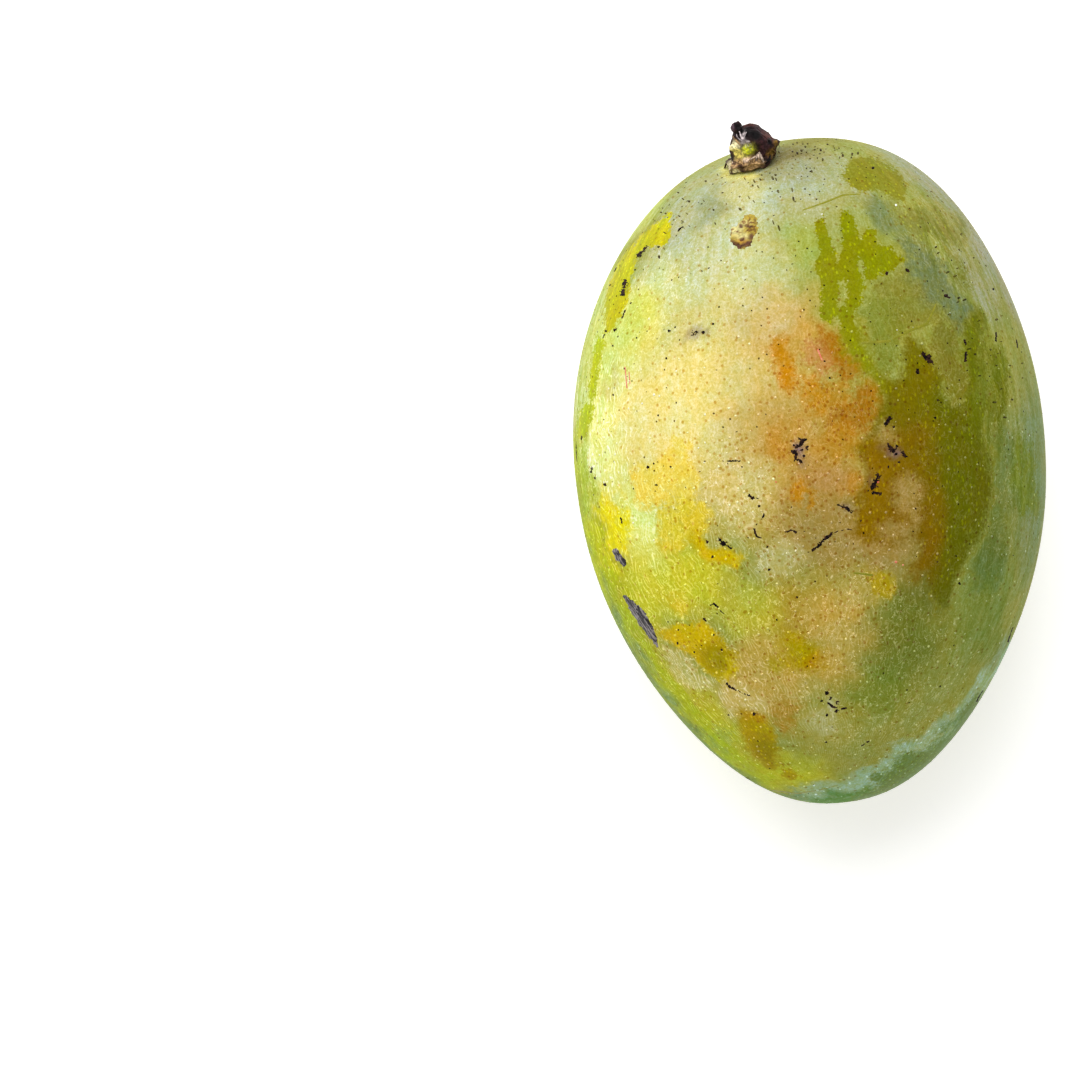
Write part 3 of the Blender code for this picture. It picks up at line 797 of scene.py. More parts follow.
# Marks of the upper cheek, by kind. Each is a run of points: across, down and half width in pixels, in turn
MARKS = {
    MarkKind.INK: (
        (647, 247, 1.8, 639, 255, 2.6), (683, 227, 1.2), (678, 231, 0.9, 682, 227, 0.9), (658, 247, 1.3),
        (659, 257, 1.3), (635, 270, 1.2), (625, 281, 2.0, 623, 294, 2.8), (623, 260, 1.1),
        (616, 268, 1.4, 615, 271, 1.2), (610, 285, 1.2), (631, 303, 1.4), (625, 311, 0.9, 622, 318, 0.9),
        (615, 330, 1.6), (606, 331, 1.5), (604, 335, 1.3, 603, 338, 1.1), (613, 346, 1.1),
        (695, 333, 2.8, 698, 332, 1.6), (703, 332, 1.8), (713, 324, 1.1), (669, 331, 1.3), (675, 327, 0.9),
        (873, 168, 1.4), (906, 269, 1.5, 908, 271, 2.0), (887, 273, 1.7),
        (922, 353, 2.2, 928, 358, 3.8, 932, 363, 2.2), (917, 369, 1.6, 918, 373, 1.4),
        (965, 340, 1.2, 966, 344, 1.4), (966, 353, 1.6, 965, 361, 1.5), (1017, 340, 1.1, 1017, 347, 1.0),
        (993, 289, 1.6), (946, 296, 2.0, 949, 298, 1.0), (943, 291, 1.0), (996, 333, 1.0, 996, 341, 1.1),
        (938, 400, 1.4), (935, 418, 1.6), (804, 441, 3.3, 797, 447, 2.4),
        (795, 451, 3.5, 797, 458, 2.4, 801, 464, 1.2), (807, 448, 2.3), (793, 445, 1.5), (800, 439, 2.1),
        (804, 456, 1.4), (802, 450, 1.2), (890, 418, 2.5, 886, 425, 2.0), (894, 427, 1.6),
        (888, 445, 2.0, 893, 450, 3.4), (897, 446, 1.8), (902, 452, 2.2, 905, 456, 3.0), (899, 462, 1.4),
        (888, 467, 1.7), (878, 477, 2.9, 873, 487, 3.0), (896, 454, 1.6), (873, 493, 1.7, 881, 494, 1.3),
        (868, 491, 1.2), (838, 505, 0.7, 848, 509, 2.4, 852, 512, 1.2), (861, 521, 1.2), (857, 509, 1.0),
        (916, 509, 1.3), (727, 461, 0.8, 740, 461, 0.8), (727, 462, 0.6, 728, 465, 0.6),
        (749, 496, 1.8, 754, 498, 1.9, 758, 498, 1.0), (759, 506, 1.4), (764, 514, 1.0, 762, 519, 1.3),
        (754, 529, 1.1, 757, 537, 1.2, 761, 538, 1.0), (787, 532, 1.3, 791, 530, 0.9, 796, 532, 1.3),
        (812, 550, 1.4, 816, 548, 2.0, 823, 541, 1.5, 831, 534, 2.2),
        (832, 534, 0.5, 838, 531, 0.45, 849, 529, 0.6, 852, 530, 0.5), (648, 467, 1.5), (654, 464, 1.5),
        (671, 467, 1.0), (656, 485, 1.5), (605, 485, 1.5), (592, 468, 1.2, 591, 472, 1.4), (595, 478, 1.2),
        (621, 518, 0.9, 622, 523, 1.0), (576, 442, 0.9, 576, 452, 1.3, 577, 461, 0.9),
        (582, 437, 1.2, 581, 439, 1.4), (720, 540, 1.8, 723, 543, 2.8, 731, 548, 1.5), (733, 551, 0.9),
        (707, 542, 1.6), (713, 557, 1.6), (767, 547, 1.2), (769, 570, 1.5), (777, 620, 1.4),
        (797, 597, 1.0), (827, 576, 0.9), (711, 605, 0.8, 714, 604, 1.2, 718, 607, 1.0),
        (718, 608, 0.5, 724, 614, 0.45), (704, 619, 1.6, 706, 621, 1.3), (668, 622, 1.0), (678, 630, 1.2),
        (688, 629, 1.2), (714, 635, 1.3), (678, 643, 1.2), (694, 652, 1.2), (722, 650, 1.4),
        (727, 684, 1.6, 730, 687, 1.0, 749, 696, 0.6), (754, 714, 1.6), (959, 583, 1.8), (1013, 555, 1.1),
        (937, 562, 1.1), (1012, 627, 1.0, 1009, 641, 1.4), (982, 691, 1.0, 977, 701, 1.4), (827, 693, 2.7),
        (822, 701, 2.3), (831, 698, 1.8), (838, 702, 2.2), (837, 711, 2.1), (827, 715, 1.4),
        (828, 703, 1.2, 833, 707, 1.3, 837, 708, 0.8), (842, 709, 1.1, 846, 708, 1.1), (826, 742, 1.1),
        (861, 746, 0.6, 866, 743, 0.8, 871, 740, 0.5), (613, 395, 1.1), (658, 415, 1.2), (757, 427, 1.0),
        (666, 358, 1.1),
    ),
    MarkKind.SCAB: (
        (616, 551, 3.0, 619, 557, 3.6, 624, 563, 3.0),
        (624, 596, 1.2, 631, 604, 4.2, 641, 617, 6.2, 650, 632, 4.6, 659, 648, 1.0),
    ),
    MarkKind.CORK: (
        (750, 222, 8.0, 748, 228, 10.5, 741, 236, 11.5, 743, 241, 8.5),
    ),
    MarkKind.RUST: (
        (625, 367, 0.6, 627, 388, 0.7), (629, 372, 0.5, 630, 384, 0.5), (878, 482, 1.3), (896, 562, 1.4),
        (903, 565, 1.0), (818, 350, 1.0, 822, 360, 0.8), (776, 482, 0.9), (779, 476, 0.7),
    ),
    MarkKind.PALE: (
        (896, 205, 1.1), (822, 214, 0.6), (805, 214, 0.5), (897, 330, 0.5),
    ),
    MarkKind.WORN: (
        (803, 210, 0.8, 826, 202, 1.1, 843, 195, 1.1, 860, 194, 0.8), (863, 343, 1.6, 890, 341, 1.4),
        (893, 339, 1.1, 912, 330, 1.3, 927, 324, 1.7, 933, 312, 1.2, 936, 304, 0.9),
        (854, 573, 0.9, 872, 575, 1.2),
        (740, 783, 0.4, 760, 790, 0.6, 797, 794, 0.7, 820, 789, 0.6, 838, 783, 0.5),
    ),
}

# The corky scar's colours
SCAR_DABS = (
    Dab(Tint.SCAR_PALE, (736, 230), (1.6, 1.6), 0.9),
    Dab(Tint.SCAR_PALE, (743, 237), (1.3, 1.0), 0.8),
    Dab(Tint.SCAR_PALE, (745, 223), (1.4, 0.8), 0.6),
    Dab(Tint.AMBER, (742, 241), (1.3, 0.7), 0.7),
    Dab(Tint.SCAR_BROWN, (732, 243), (1.0, 0.6), 0.9),
    Dab(Tint.SCAR_BROWN, (739, 247), (1.2, 0.6), 0.95),
    Dab(Tint.SCAR_BROWN, (747, 244), (1.2, 0.7), 0.95),
    Dab(Tint.SCAR_BROWN, (751, 237), (0.6, 1.0), 0.9),
    Dab(Tint.SCAR_BROWN, (742, 239), (0.6, 0.5), 0.8),
    Dab(Tint.SCAR_BROWN, (741, 226), (0.6, 0.35), 0.95),
    Dab(Tint.SCAR_BROWN, (750, 226), (0.7, 0.35), 0.9),
    Dab(Tint.SCAR_BROWN, (728, 238), (0.6, 0.6), 0.7),
    Dab(Tint.SCAR_BROWN, (755, 221), (0.4, 0.8), 0.6),
    Dab(Tint.SCAR_BROWN, (737, 232), (0.3, 0.25), 0.7),
    Dab(Tint.SCAR_BROWN, (747, 231), (0.35, 0.25), 0.7),
    Dab(Tint.SCAR_BROWN, (735, 246), (0.9, 0.5), 0.95),
    Dab(Tint.SCAR_BROWN, (752, 243), (0.7, 0.5), 0.9),
)
class NodeSheet:
    """Lays out the nodes of one tree and joins them."""

    def __init__(self, tree: bpy.types.NodeTree) -> None:
        """Takes the tree that it works on."""
        self.tree = tree

    def add(self, kind: str, **settings: object) -> bpy.types.Node:
        """Adds a node of this kind with these settings."""
        node = self.tree.nodes.new(kind)
        for name, value in settings.items():
            setattr(node, name, value)
        return node

    def feed(self, socket: Socket, value: object) -> None:
        """Joins a socket to another one, or sets its own value."""
        if isinstance(value, Socket):
            self.tree.links.new(value, socket)
        else:
            socket.default_value = value

    def fill(self, node: bpy.types.Node, values: dict) -> None:
        """Joins or sets several sockets of a node by their names."""
        for name, value in values.items():
            self.feed(node.inputs[name], value)

    def math(self, operation: str, a: object, b: object = 0.0) -> Socket:
        """Adds a sum of two numbers."""
        node = self.add("ShaderNodeMath", operation=operation)
        self.feed(node.inputs[0], a)
        self.feed(node.inputs[1], b)
        return node.outputs[0]

    def times(self, a: object, b: object) -> Socket:
        """Adds the product of two numbers."""
        return self.math("MULTIPLY", a, b)

    def blend(self, share: object, low: object, high: object, mode: str = "MIX") -> Socket:
        """Adds a mix of two colours."""
        node = self.add("ShaderNodeMix", data_type="RGBA", blend_type=mode)
        self.feed(node.inputs[0], share)
        self.feed(node.inputs[6], low)
        self.feed(node.inputs[7], high)
        return node.outputs[2]

    def tinted(self, colour: object, other: object, mode: str = "MULTIPLY") -> Socket:
        """Adds a colour with another one laid over it in full."""
        return self.blend(1.0, colour, other, mode)

    def remap(self, value: object, low: object, high: object, to: tuple = (0.0, 1.0)) -> Socket:
        """Adds a smooth step of a number from low to high."""
        node = self.add("ShaderNodeMapRange", interpolation_type="SMOOTHSTEP")
        for socket, given in zip(node.inputs[:5], (value, low, high, *to)):
            self.feed(socket, given)
        return node.outputs[0]

    def stretched(self, scale: tuple, turn: tuple = (0.0, 0.0, 0.0)) -> Socket:
        """Adds the piece's own coordinates, turned and scaled."""
        place = self.add("ShaderNodeTexCoord")
        mapping = self.add("ShaderNodeMapping")
        self.feed(mapping.inputs["Vector"], place.outputs["Object"])
        mapping.inputs["Rotation"].default_value = turn
        mapping.inputs["Scale"].default_value = scale
        return mapping.outputs["Vector"]

    def combed(self, drawn: float, lie: float) -> Socket:
        """Adds the piece's own coordinates, drawn out along a direction of the floor.

        Args:
            drawn: how many times longer the grain gets along it.
            lie: the direction's turn from the y axis, in radians.
        """
        place = self.add("ShaderNodeTexCoord")
        mapping = self.add("ShaderNodeMapping", vector_type="TEXTURE")
        self.feed(mapping.inputs["Vector"], place.outputs["Object"])
        mapping.inputs["Rotation"].default_value = (0.0, 0.0, lie)
        mapping.inputs["Scale"].default_value = (1.0, drawn, 1.0)
        return mapping.outputs["Vector"]

    def noise(self, where: Socket, grain: float, detail: float = 2.0,
              bend: float = 0.0) -> Socket:
        """Adds a cloudy noise.

        Args:
            where: the coordinates it reads.
            grain: the size of its clouds, in metres.
            detail: how many finer layers it has.
            bend: how far its clouds are drawn out of shape.

        Returns:
            Its value, around 0.5.
        """
        node = self.add("ShaderNodeTexNoise")
        self.feed(node.inputs["Vector"], where)
        node.inputs["Scale"].default_value = 1.0 / grain
        node.inputs["Detail"].default_value = detail
        node.inputs["Distortion"].default_value = bend
        return node.outputs["Fac"]

    def dots(self, where: Socket, spacing: float) -> tuple[Socket, Socket]:
        """Adds scattered dots: the distance from the nearest in spacings, and its own chance number."""
        node = self.add("ShaderNodeTexVoronoi")
        self.feed(node.inputs["Vector"], where)
        node.inputs["Scale"].default_value = 1.0 / spacing
        split = self.add("ShaderNodeSeparateColor")
        self.feed(split.inputs[0], node.outputs["Color"])
        return node.outputs["Distance"], split.outputs[0]

    def grey(self, value: Socket) -> Socket:
        """Adds a grey of this brightness."""
        node = self.add("ShaderNodeCombineColor")
        for socket in node.inputs[:3]:
            self.feed(socket, value)
        return node.outputs[0]

    def attribute(self, name: str, colour: bool = False) -> Socket:
        """Adds a value painted on the piece's corner points."""
        node = self.add("ShaderNodeAttribute", attribute_name=name)
        return node.outputs["Color" if colour else "Fac"]

    def bump(self, shader: bpy.types.Node, height: Socket, strength: float, distance: float) -> None:
        """Gives a finish its small relief.

        Args:
            shader: the finish's shader.
            height: the relief, from 0 to 1.
            strength: how much of it shows.
            distance: its full height, in metres.
        """
        node = self.add("ShaderNodeBump")
        self.fill(node, {"Strength": strength, "Distance": distance, "Height": height})
        self.feed(shader.inputs["Normal"], node.outputs["Normal"])


def new_finish(name: str) -> tuple[bpy.types.Material, NodeSheet, bpy.types.Node]:
    """Starts a material.

    Args:
        name: its name.

    Returns:
        The material, its sheet and its shader.
    """
    material = bpy.data.materials.new(name)
    material.use_nodes = True
    return material, NodeSheet(material.node_tree), material.node_tree.nodes["Principled BSDF"]


@dataclass(frozen=True)
class SkinFinish:
    """The fruit's skin: bloomed ground, rubbed places, mottle, curls and fine dots. Sizes in metres."""

    name: str = "mango_skin_bloomed"
    ragged: float = 0.0011
    frayed: float = 0.00042
    rubbed_reach: tuple = (1.1, 0.9)
    tinged_reach: tuple = (2.1, 1.8)
    cloud: float = 0.0065
    mottle: float = 0.0010
    thinning: float = 0.0013
    grit: float = 0.00042
    curl: float = 0.00095
    curl_width: float = 0.030
    line_gain: tuple = (1.28, 1.28, 2.2, 1.0)
    line_light: tuple = (0.15, 0.14, 0.075, 1.0)
    streak: float = 0.0019
    middle_height: float = MIDDLE_HEIGHT
    swirl: float = 0.0060
    swirl_lines: float = 8.0
    lines_round: float = 240.0
    stipple: float = 0.0011
    pore: float = 0.0008
    pore_drawn: tuple = (1.0, 0.58, 1.0)
    pore_gain: tuple = (1.5, 1.6, 1.3, 1.0)
    pore_light: tuple = (0.05, 0.06, 0.0, 1.0)
    gloss: float = 0.022
    bloom_roughness: float = 0.52
    rubbed_roughness: float = 0.36
    bump_height: float = 0.00006

    def build(self) -> bpy.types.Material:
        """Makes the material."""
        material, sheet, shader = new_finish(self.name)
        place = sheet.stretched((1.0, 1.0, 1.0))
        rubbed = sheet.attribute("rubbed", True)
        tinge = self.worn_mask(sheet, place, "tinge", self.tinged_reach)
        mask = self.worn_mask(sheet, place, "rub", self.rubbed_reach)
        thin = sheet.remap(sheet.noise(place, self.thinning, 2.0, 0.5), 0.34, 0.52, (0.75, 1.0))
        tinge = sheet.times(tinge, thin)
        colour = sheet.blend(tinge, sheet.attribute("ground", True), sheet.attribute("tinged", True))
        colour = sheet.blend(mask, colour, rubbed)
        colour, grit = self.mottled(sheet, place, colour)
        colour = self.stippled(sheet, place, colour)
        colour = self.pored(sheet, mask, colour)
        round_it, colour = self.streaked(sheet, place, colour)
        colour, curls = self.curled(sheet, place, round_it, mask, colour)
        sheet.feed(shader.inputs["Base Color"], colour)
        rough = sheet.remap(mask, 0.0, 1.0, (self.bloom_roughness, self.rubbed_roughness))
        rough = sheet.math("ADD", rough, sheet.times(grit, 0.10))
        sheet.feed(shader.inputs["Roughness"], rough)
        shader.inputs["Specular IOR Level"].default_value = self.gloss
        height = sheet.math("ADD", sheet.times(grit, 0.6), sheet.times(curls, 0.5))
        sheet.bump(shader, height, 0.6, self.bump_height)
        return material

    def worn_mask(self, sheet: NodeSheet, place: Socket, layer: str,
                  reaches: tuple) -> Socket:
        """Returns how far a painted layer covers the one below it, with a ragged edge.

        Args:
            sheet: the sheet that the nodes are laid on.
            place: the coordinates that the noise reads.
            layer: the painted depth inside its patches.
            reaches: how far the broad and the fine ragged edges go, in millimetres.
        """
        depth = sheet.attribute(layer)
        soft = sheet.attribute(layer + "_softness")
        for grain, reach in zip((self.ragged, self.frayed), reaches):
            wave = sheet.math("SUBTRACT", sheet.noise(place, grain, 1.0), 0.5)
            depth = sheet.math("ADD", depth, sheet.times(wave, reach * 2.0))
        return sheet.remap(sheet.math("DIVIDE", depth, soft), -1.0, 1.0)

    def mottled(self, sheet: NodeSheet, place: Socket, colour: Socket) -> tuple:
        """Returns the colour with its cloudy and gritty variation, and the grit."""
        broad = sheet.noise(place, self.cloud, 3.0)
        cloud = sheet.noise(place, self.mottle, 2.5, 0.4)
        grit = sheet.noise(place, self.grit, 2.0)
        for wave, cool, warm in ((broad, (0.97, 1.02, 1.04, 1.0), (1.04, 0.99, 0.86, 1.0)),
                                 (cloud, (1.03, 1.04, 1.16, 1.0), (0.97, 0.94, 0.76, 1.0)),
                                 (grit, (1.07, 1.07, 1.18, 1.0), (0.92, 0.91, 0.78, 1.0))):
            shade = sheet.blend(sheet.remap(wave, 0.38, 0.62), cool, warm)
            colour = sheet.tinted(colour, shade)
        return colour, grit

    def stippled(self, sheet: NodeSheet, place: Socket,
                 colour: Socket) -> Socket:
        """Returns the colour with fine dots where the bloom is half gone."""
        distance, chance = sheet.dots(place, self.stipple)
        near = sheet.remap(distance, 0.36, 0.22)
        amount = sheet.attribute("stipple")
        kept = sheet.remap(sheet.math("SUBTRACT", amount, chance), -0.05, 0.05)
        share = sheet.times(sheet.times(near, kept), 0.85)
        return sheet.blend(share, colour, sheet.tinted(colour, (0.72, 0.52, 0.22, 1.0)))

    def pored(self, sheet: NodeSheet, mask: Socket,
              colour: Socket) -> Socket:
        """Returns the colour with short yellow pores where the bloom is gone."""
        distance, chance = sheet.dots(sheet.stretched(self.pore_drawn), self.pore)
        near = sheet.times(sheet.remap(distance, 0.36, 0.20), sheet.remap(chance, 0.45, 0.55))
        share = sheet.times(sheet.times(near, mask), 0.65)
        light = sheet.tinted(sheet.tinted(colour, self.pore_gain), self.pore_light, "ADD")
        return sheet.blend(share, colour, light)

    def streaked(self, sheet: NodeSheet, place: Socket, colour: Socket) -> tuple:
        """Returns the angle round the fruit, and the colour with long faint streaks that run along it."""
        split = sheet.add("ShaderNodeSeparateXYZ")
        sheet.feed(split.inputs[0], place)
        rise = sheet.math("SUBTRACT", split.outputs[2], self.middle_height)
        round_it = sheet.math("ARCTAN2", split.outputs[0], rise)
        drawn = sheet.add("ShaderNodeCombineXYZ")
        sheet.feed(drawn.inputs[0], sheet.times(round_it, self.middle_height))
        sheet.feed(drawn.inputs[1], sheet.times(split.outputs[1], 0.17))
        wave = sheet.noise(drawn.outputs[0], self.streak, 3.0, 0.6)
        wave = sheet.remap(wave, 0.38, 0.62)
        shade = sheet.blend(wave, (0.80, 0.85, 0.52, 1.0), (1.14, 1.12, 1.45, 1.0))
        return round_it, sheet.blend(sheet.attribute("streak"), colour, shade, "MULTIPLY")

    def curled(self, sheet: NodeSheet, place: Socket, round_it: Socket,
               mask: Socket, colour: Socket) -> tuple:
        """Returns the colour with its fine pale lines, fainter where the bloom is gone, and the lines."""
        drawn = sheet.stretched((1.0, 0.62, 1.0))
        wave = sheet.noise(drawn, self.curl, 1.0, 0.6)
        offset = sheet.math("ABSOLUTE", sheet.math("SUBTRACT", wave, 0.5))
        line = sheet.remap(offset, self.curl_width, self.curl_width * 0.35)
        broken = sheet.remap(sheet.noise(drawn, self.curl * 1.3, 0.0), 0.40, 0.48)
        curls = sheet.times(sheet.times(line, broken), sheet.attribute("curl"))
        curls = sheet.times(curls, sheet.remap(mask, 0.0, 1.0, (1.0, 0.4)))
        ripples = sheet.times(self.rippled(sheet, place, round_it), sheet.attribute("ripple"))
        ripples = sheet.times(ripples, sheet.remap(mask, 0.0, 1.0, (1.0, 0.25)))
        lines = sheet.math("MAXIMUM", curls, ripples)
        pale = sheet.tinted(sheet.tinted(colour, self.line_gain), self.line_light, "ADD")
        pale = sheet.tinted(pale, (0.94, 0.93, 0.84, 1.0), "DARKEN")
        return sheet.blend(lines, colour, pale), lines

    def rippled(self, sheet: NodeSheet, place: Socket,
                round_it: Socket) -> Socket:
        """Returns fine wavy lines that run along the fruit and swirl, like those of a fingertip."""
        swirl = sheet.times(sheet.noise(place, self.swirl, 1.5, 0.5), self.swirl_lines)
        turns = sheet.math("ADD", sheet.times(round_it, self.lines_round / (2 * math.pi)), swirl)
        wave = sheet.math("SINE", sheet.times(turns, 2 * math.pi))
        broken = sheet.remap(sheet.noise(place, self.curl * 1.6, 1.0), 0.40, 0.58)
        return sheet.times(sheet.remap(wave, 0.35, 1.0), broken)


class Canvas:
    """The corner points of a mesh, as the airbrush sees them. A pixel and the depths are in millimetres."""

    pixel_size: float = 0.203
    turned_away: float = -0.12
    limb: float = 22.0
    deepest: float = 5.0
    shifts: tuple = (Vector((3.1, 0.7, 5.2)), Vector((7.4, 2.9, 1.6)), Vector((0.4, 8.3, 2.2)))

    def __init__(self, obj: bpy.types.Object, view: CameraView) -> None:
        """Reads the mesh.

        Args:
            obj: the piece to paint.
            view: the camera, whose pixels say where a dab goes.
        """
        self.obj, self.view = obj, view
        mesh = obj.data
        count = len(mesh.vertices)
        self.points, self.normals = np.zeros(count * 3), np.zeros(count * 3)
        mesh.vertices.foreach_get("co", self.points)
        mesh.vertex_normals.foreach_get("vector", self.normals)
        self.points, self.normals = self.points.reshape(-1, 3), self.normals.reshape(-1, 3)
        faces = [tuple(face.vertices) for face in mesh.polygons]
        self.tree = BVHTree.FromPolygons(self.points.tolist(), faces)
        self.pixels = view.pixel(self.points)
        sight = view.place - self.points
        sight /= np.linalg.norm(sight, axis=1, keepdims=True)
        self.facing = np.sum(sight * self.normals, axis=1)
        self.drift = np.zeros_like(self.points)

    def wander(self, grain: float, reach: float) -> None:
        """Bends the places where dabs fall, so that their edges aren't round.

        Args:
            grain: how large the bends are, in metres.
            reach: how far they carry, in millimetres.
        """
        waves = [[noise.noise(Vector(point) / grain + shift) for shift in self.shifts]
                 for point in self.points]
        self.drift = self.drift + np.array(waves) * reach

    def move(self, points: np.ndarray) -> None:
        """Moves the mesh's corner points to these places."""
        self.obj.data.vertices.foreach_set("co", points.ravel())
        self.obj.data.update()

    def hit(self, start: Vector, direction: Vector) -> tuple[Vector, Vector]:
        """Returns the surface's point and normal where a line meets it, or else where it passes nearest."""
        place, normal = self.tree.ray_cast(start, direction)[:2]
        if place is None:
            along = (Vector((0.0, 0.0, MIDDLE_HEIGHT)) - start).dot(direction)
            place, normal = self.tree.find_nearest(start + direction * along)[:2]
        return place, normal

    def spot(self, at: tuple) -> np.ndarray:
        """Returns the surface's point for a pixel, or for a place in millimetres near it."""
        if len(at) == 3:
            return np.array(self.tree.find_nearest(Vector(at) / 1000)[0])
        return np.array(self.hit(*self.view.ray(*at))[0])

    def cover(self, at: tuple, reach: tuple, turn: float = 0.0) -> np.ndarray:
        """Returns how much of a dab each corner point gets, from 0 to 1."""
        away = (self.points - self.spot(at)) * 1000 + self.drift
        across, up, depth = away @ self.view.right, away @ self.view.up, away @ self.view.forward
        angle = math.radians(turn)
        wide = across * math.cos(angle) + up * math.sin(angle)
        tall = up * math.cos(angle) - across * math.sin(angle)
        far = (wide / reach[0]) ** 2 + (tall / reach[1]) ** 2 + (depth / max(reach)) ** 2
        return np.exp(-far ** 1.8)

    def airbrush(self, base: Optional[Enum], dabs: Sequence[Dab],
                 below: Optional[np.ndarray] = None) -> np.ndarray:
        """Paints dabs one over the other.

        Args:
            base: the colour below them all.
            dabs: the touches in order.
            below: the colours that are there already, instead of the base.

        Returns:
            The linear colour at each corner point.
        """
        if below is None:
            below = np.tile(as_linear(base.value), (len(self.points), 1))
        colours = below.copy()
        for dab in dabs:
            weight = dab.strength * self.cover(dab.at, dab.reach, dab.turn)
            colours += (np.array(as_linear(dab.tint.value)) - colours) * weight[:, None]
        return colours

    def spread(self, below: np.ndarray, patches: Sequence[Patch], margin: float = 1.6) -> np.ndarray:
        """Paints the colours of patches, each a little wider than its outline.

        Args:
            below: the colours that are there already.
            patches: the patches in order.
            margin: how much wider, in millimetres.

        Returns:
            The linear colour at each corner point.
        """
        colours = below.copy()
        for patch in patches:
            inside = self.inside(patch.outline, patch.softness)
            share = patch.strength * np.clip((inside + margin) / margin, 0.0, 1.0)
            colours += (np.array(as_linear(patch.tint.value)) - colours) * share[:, None]
        return colours

    def inside(self, outline: tuple, softness: float = 0.0) -> np.ndarray:
        """Returns how far each corner point is inside an outline, which a soft edge bends out of shape.

        Args:
            outline: its pixels, across and down in turn.
            softness: how soft its edge is, in millimetres.

        Returns:
            Millimetres, less than 0 outside.
        """
        corners = np.array(outline, float).reshape(-1, 2)
        bend = min(softness / 1.5, 1.0) / self.pixel_size
        drift = np.column_stack((self.drift @ self.view.right, -(self.drift @ self.view.up)))
        pixels = self.pixels + drift * bend
        nearest = np.full(len(self.points), FAR)
        crossings = np.zeros(len(self.points), int)
        for start, end in zip(corners, np.roll(corners, -1, axis=0)):
            nearest = np.minimum(nearest, from_line(pixels, start, end)[0])
            below = (start[1] <= pixels[:, 1]) != (end[1] <= pixels[:, 1])
            run, rise = end - start
            rise = rise if abs(rise) > TINY else TINY
            crossing = start[0] + (pixels[:, 1] - start[1]) * run / rise
            crossings += below & (pixels[:, 0] < crossing)
        signed = np.where(crossings % 2 == 1, nearest, -nearest) * self.pixel_size
        rim = (self.facing - self.turned_away) * self.limb + self.drift[:, 0]
        return np.clip(np.minimum(signed, rim), -self.deepest, None)

    def along(self, path: tuple) -> np.ndarray:
        """Returns how far each corner point is from a line of pixels, in millimetres."""
        return from_path(self.pixels, path) * self.pixel_size

    def store(self, name: str, values: np.ndarray) -> None:
        """Keeps a painted layer of numbers or colours on the mesh."""
        keep_layer(self.obj, name, values)


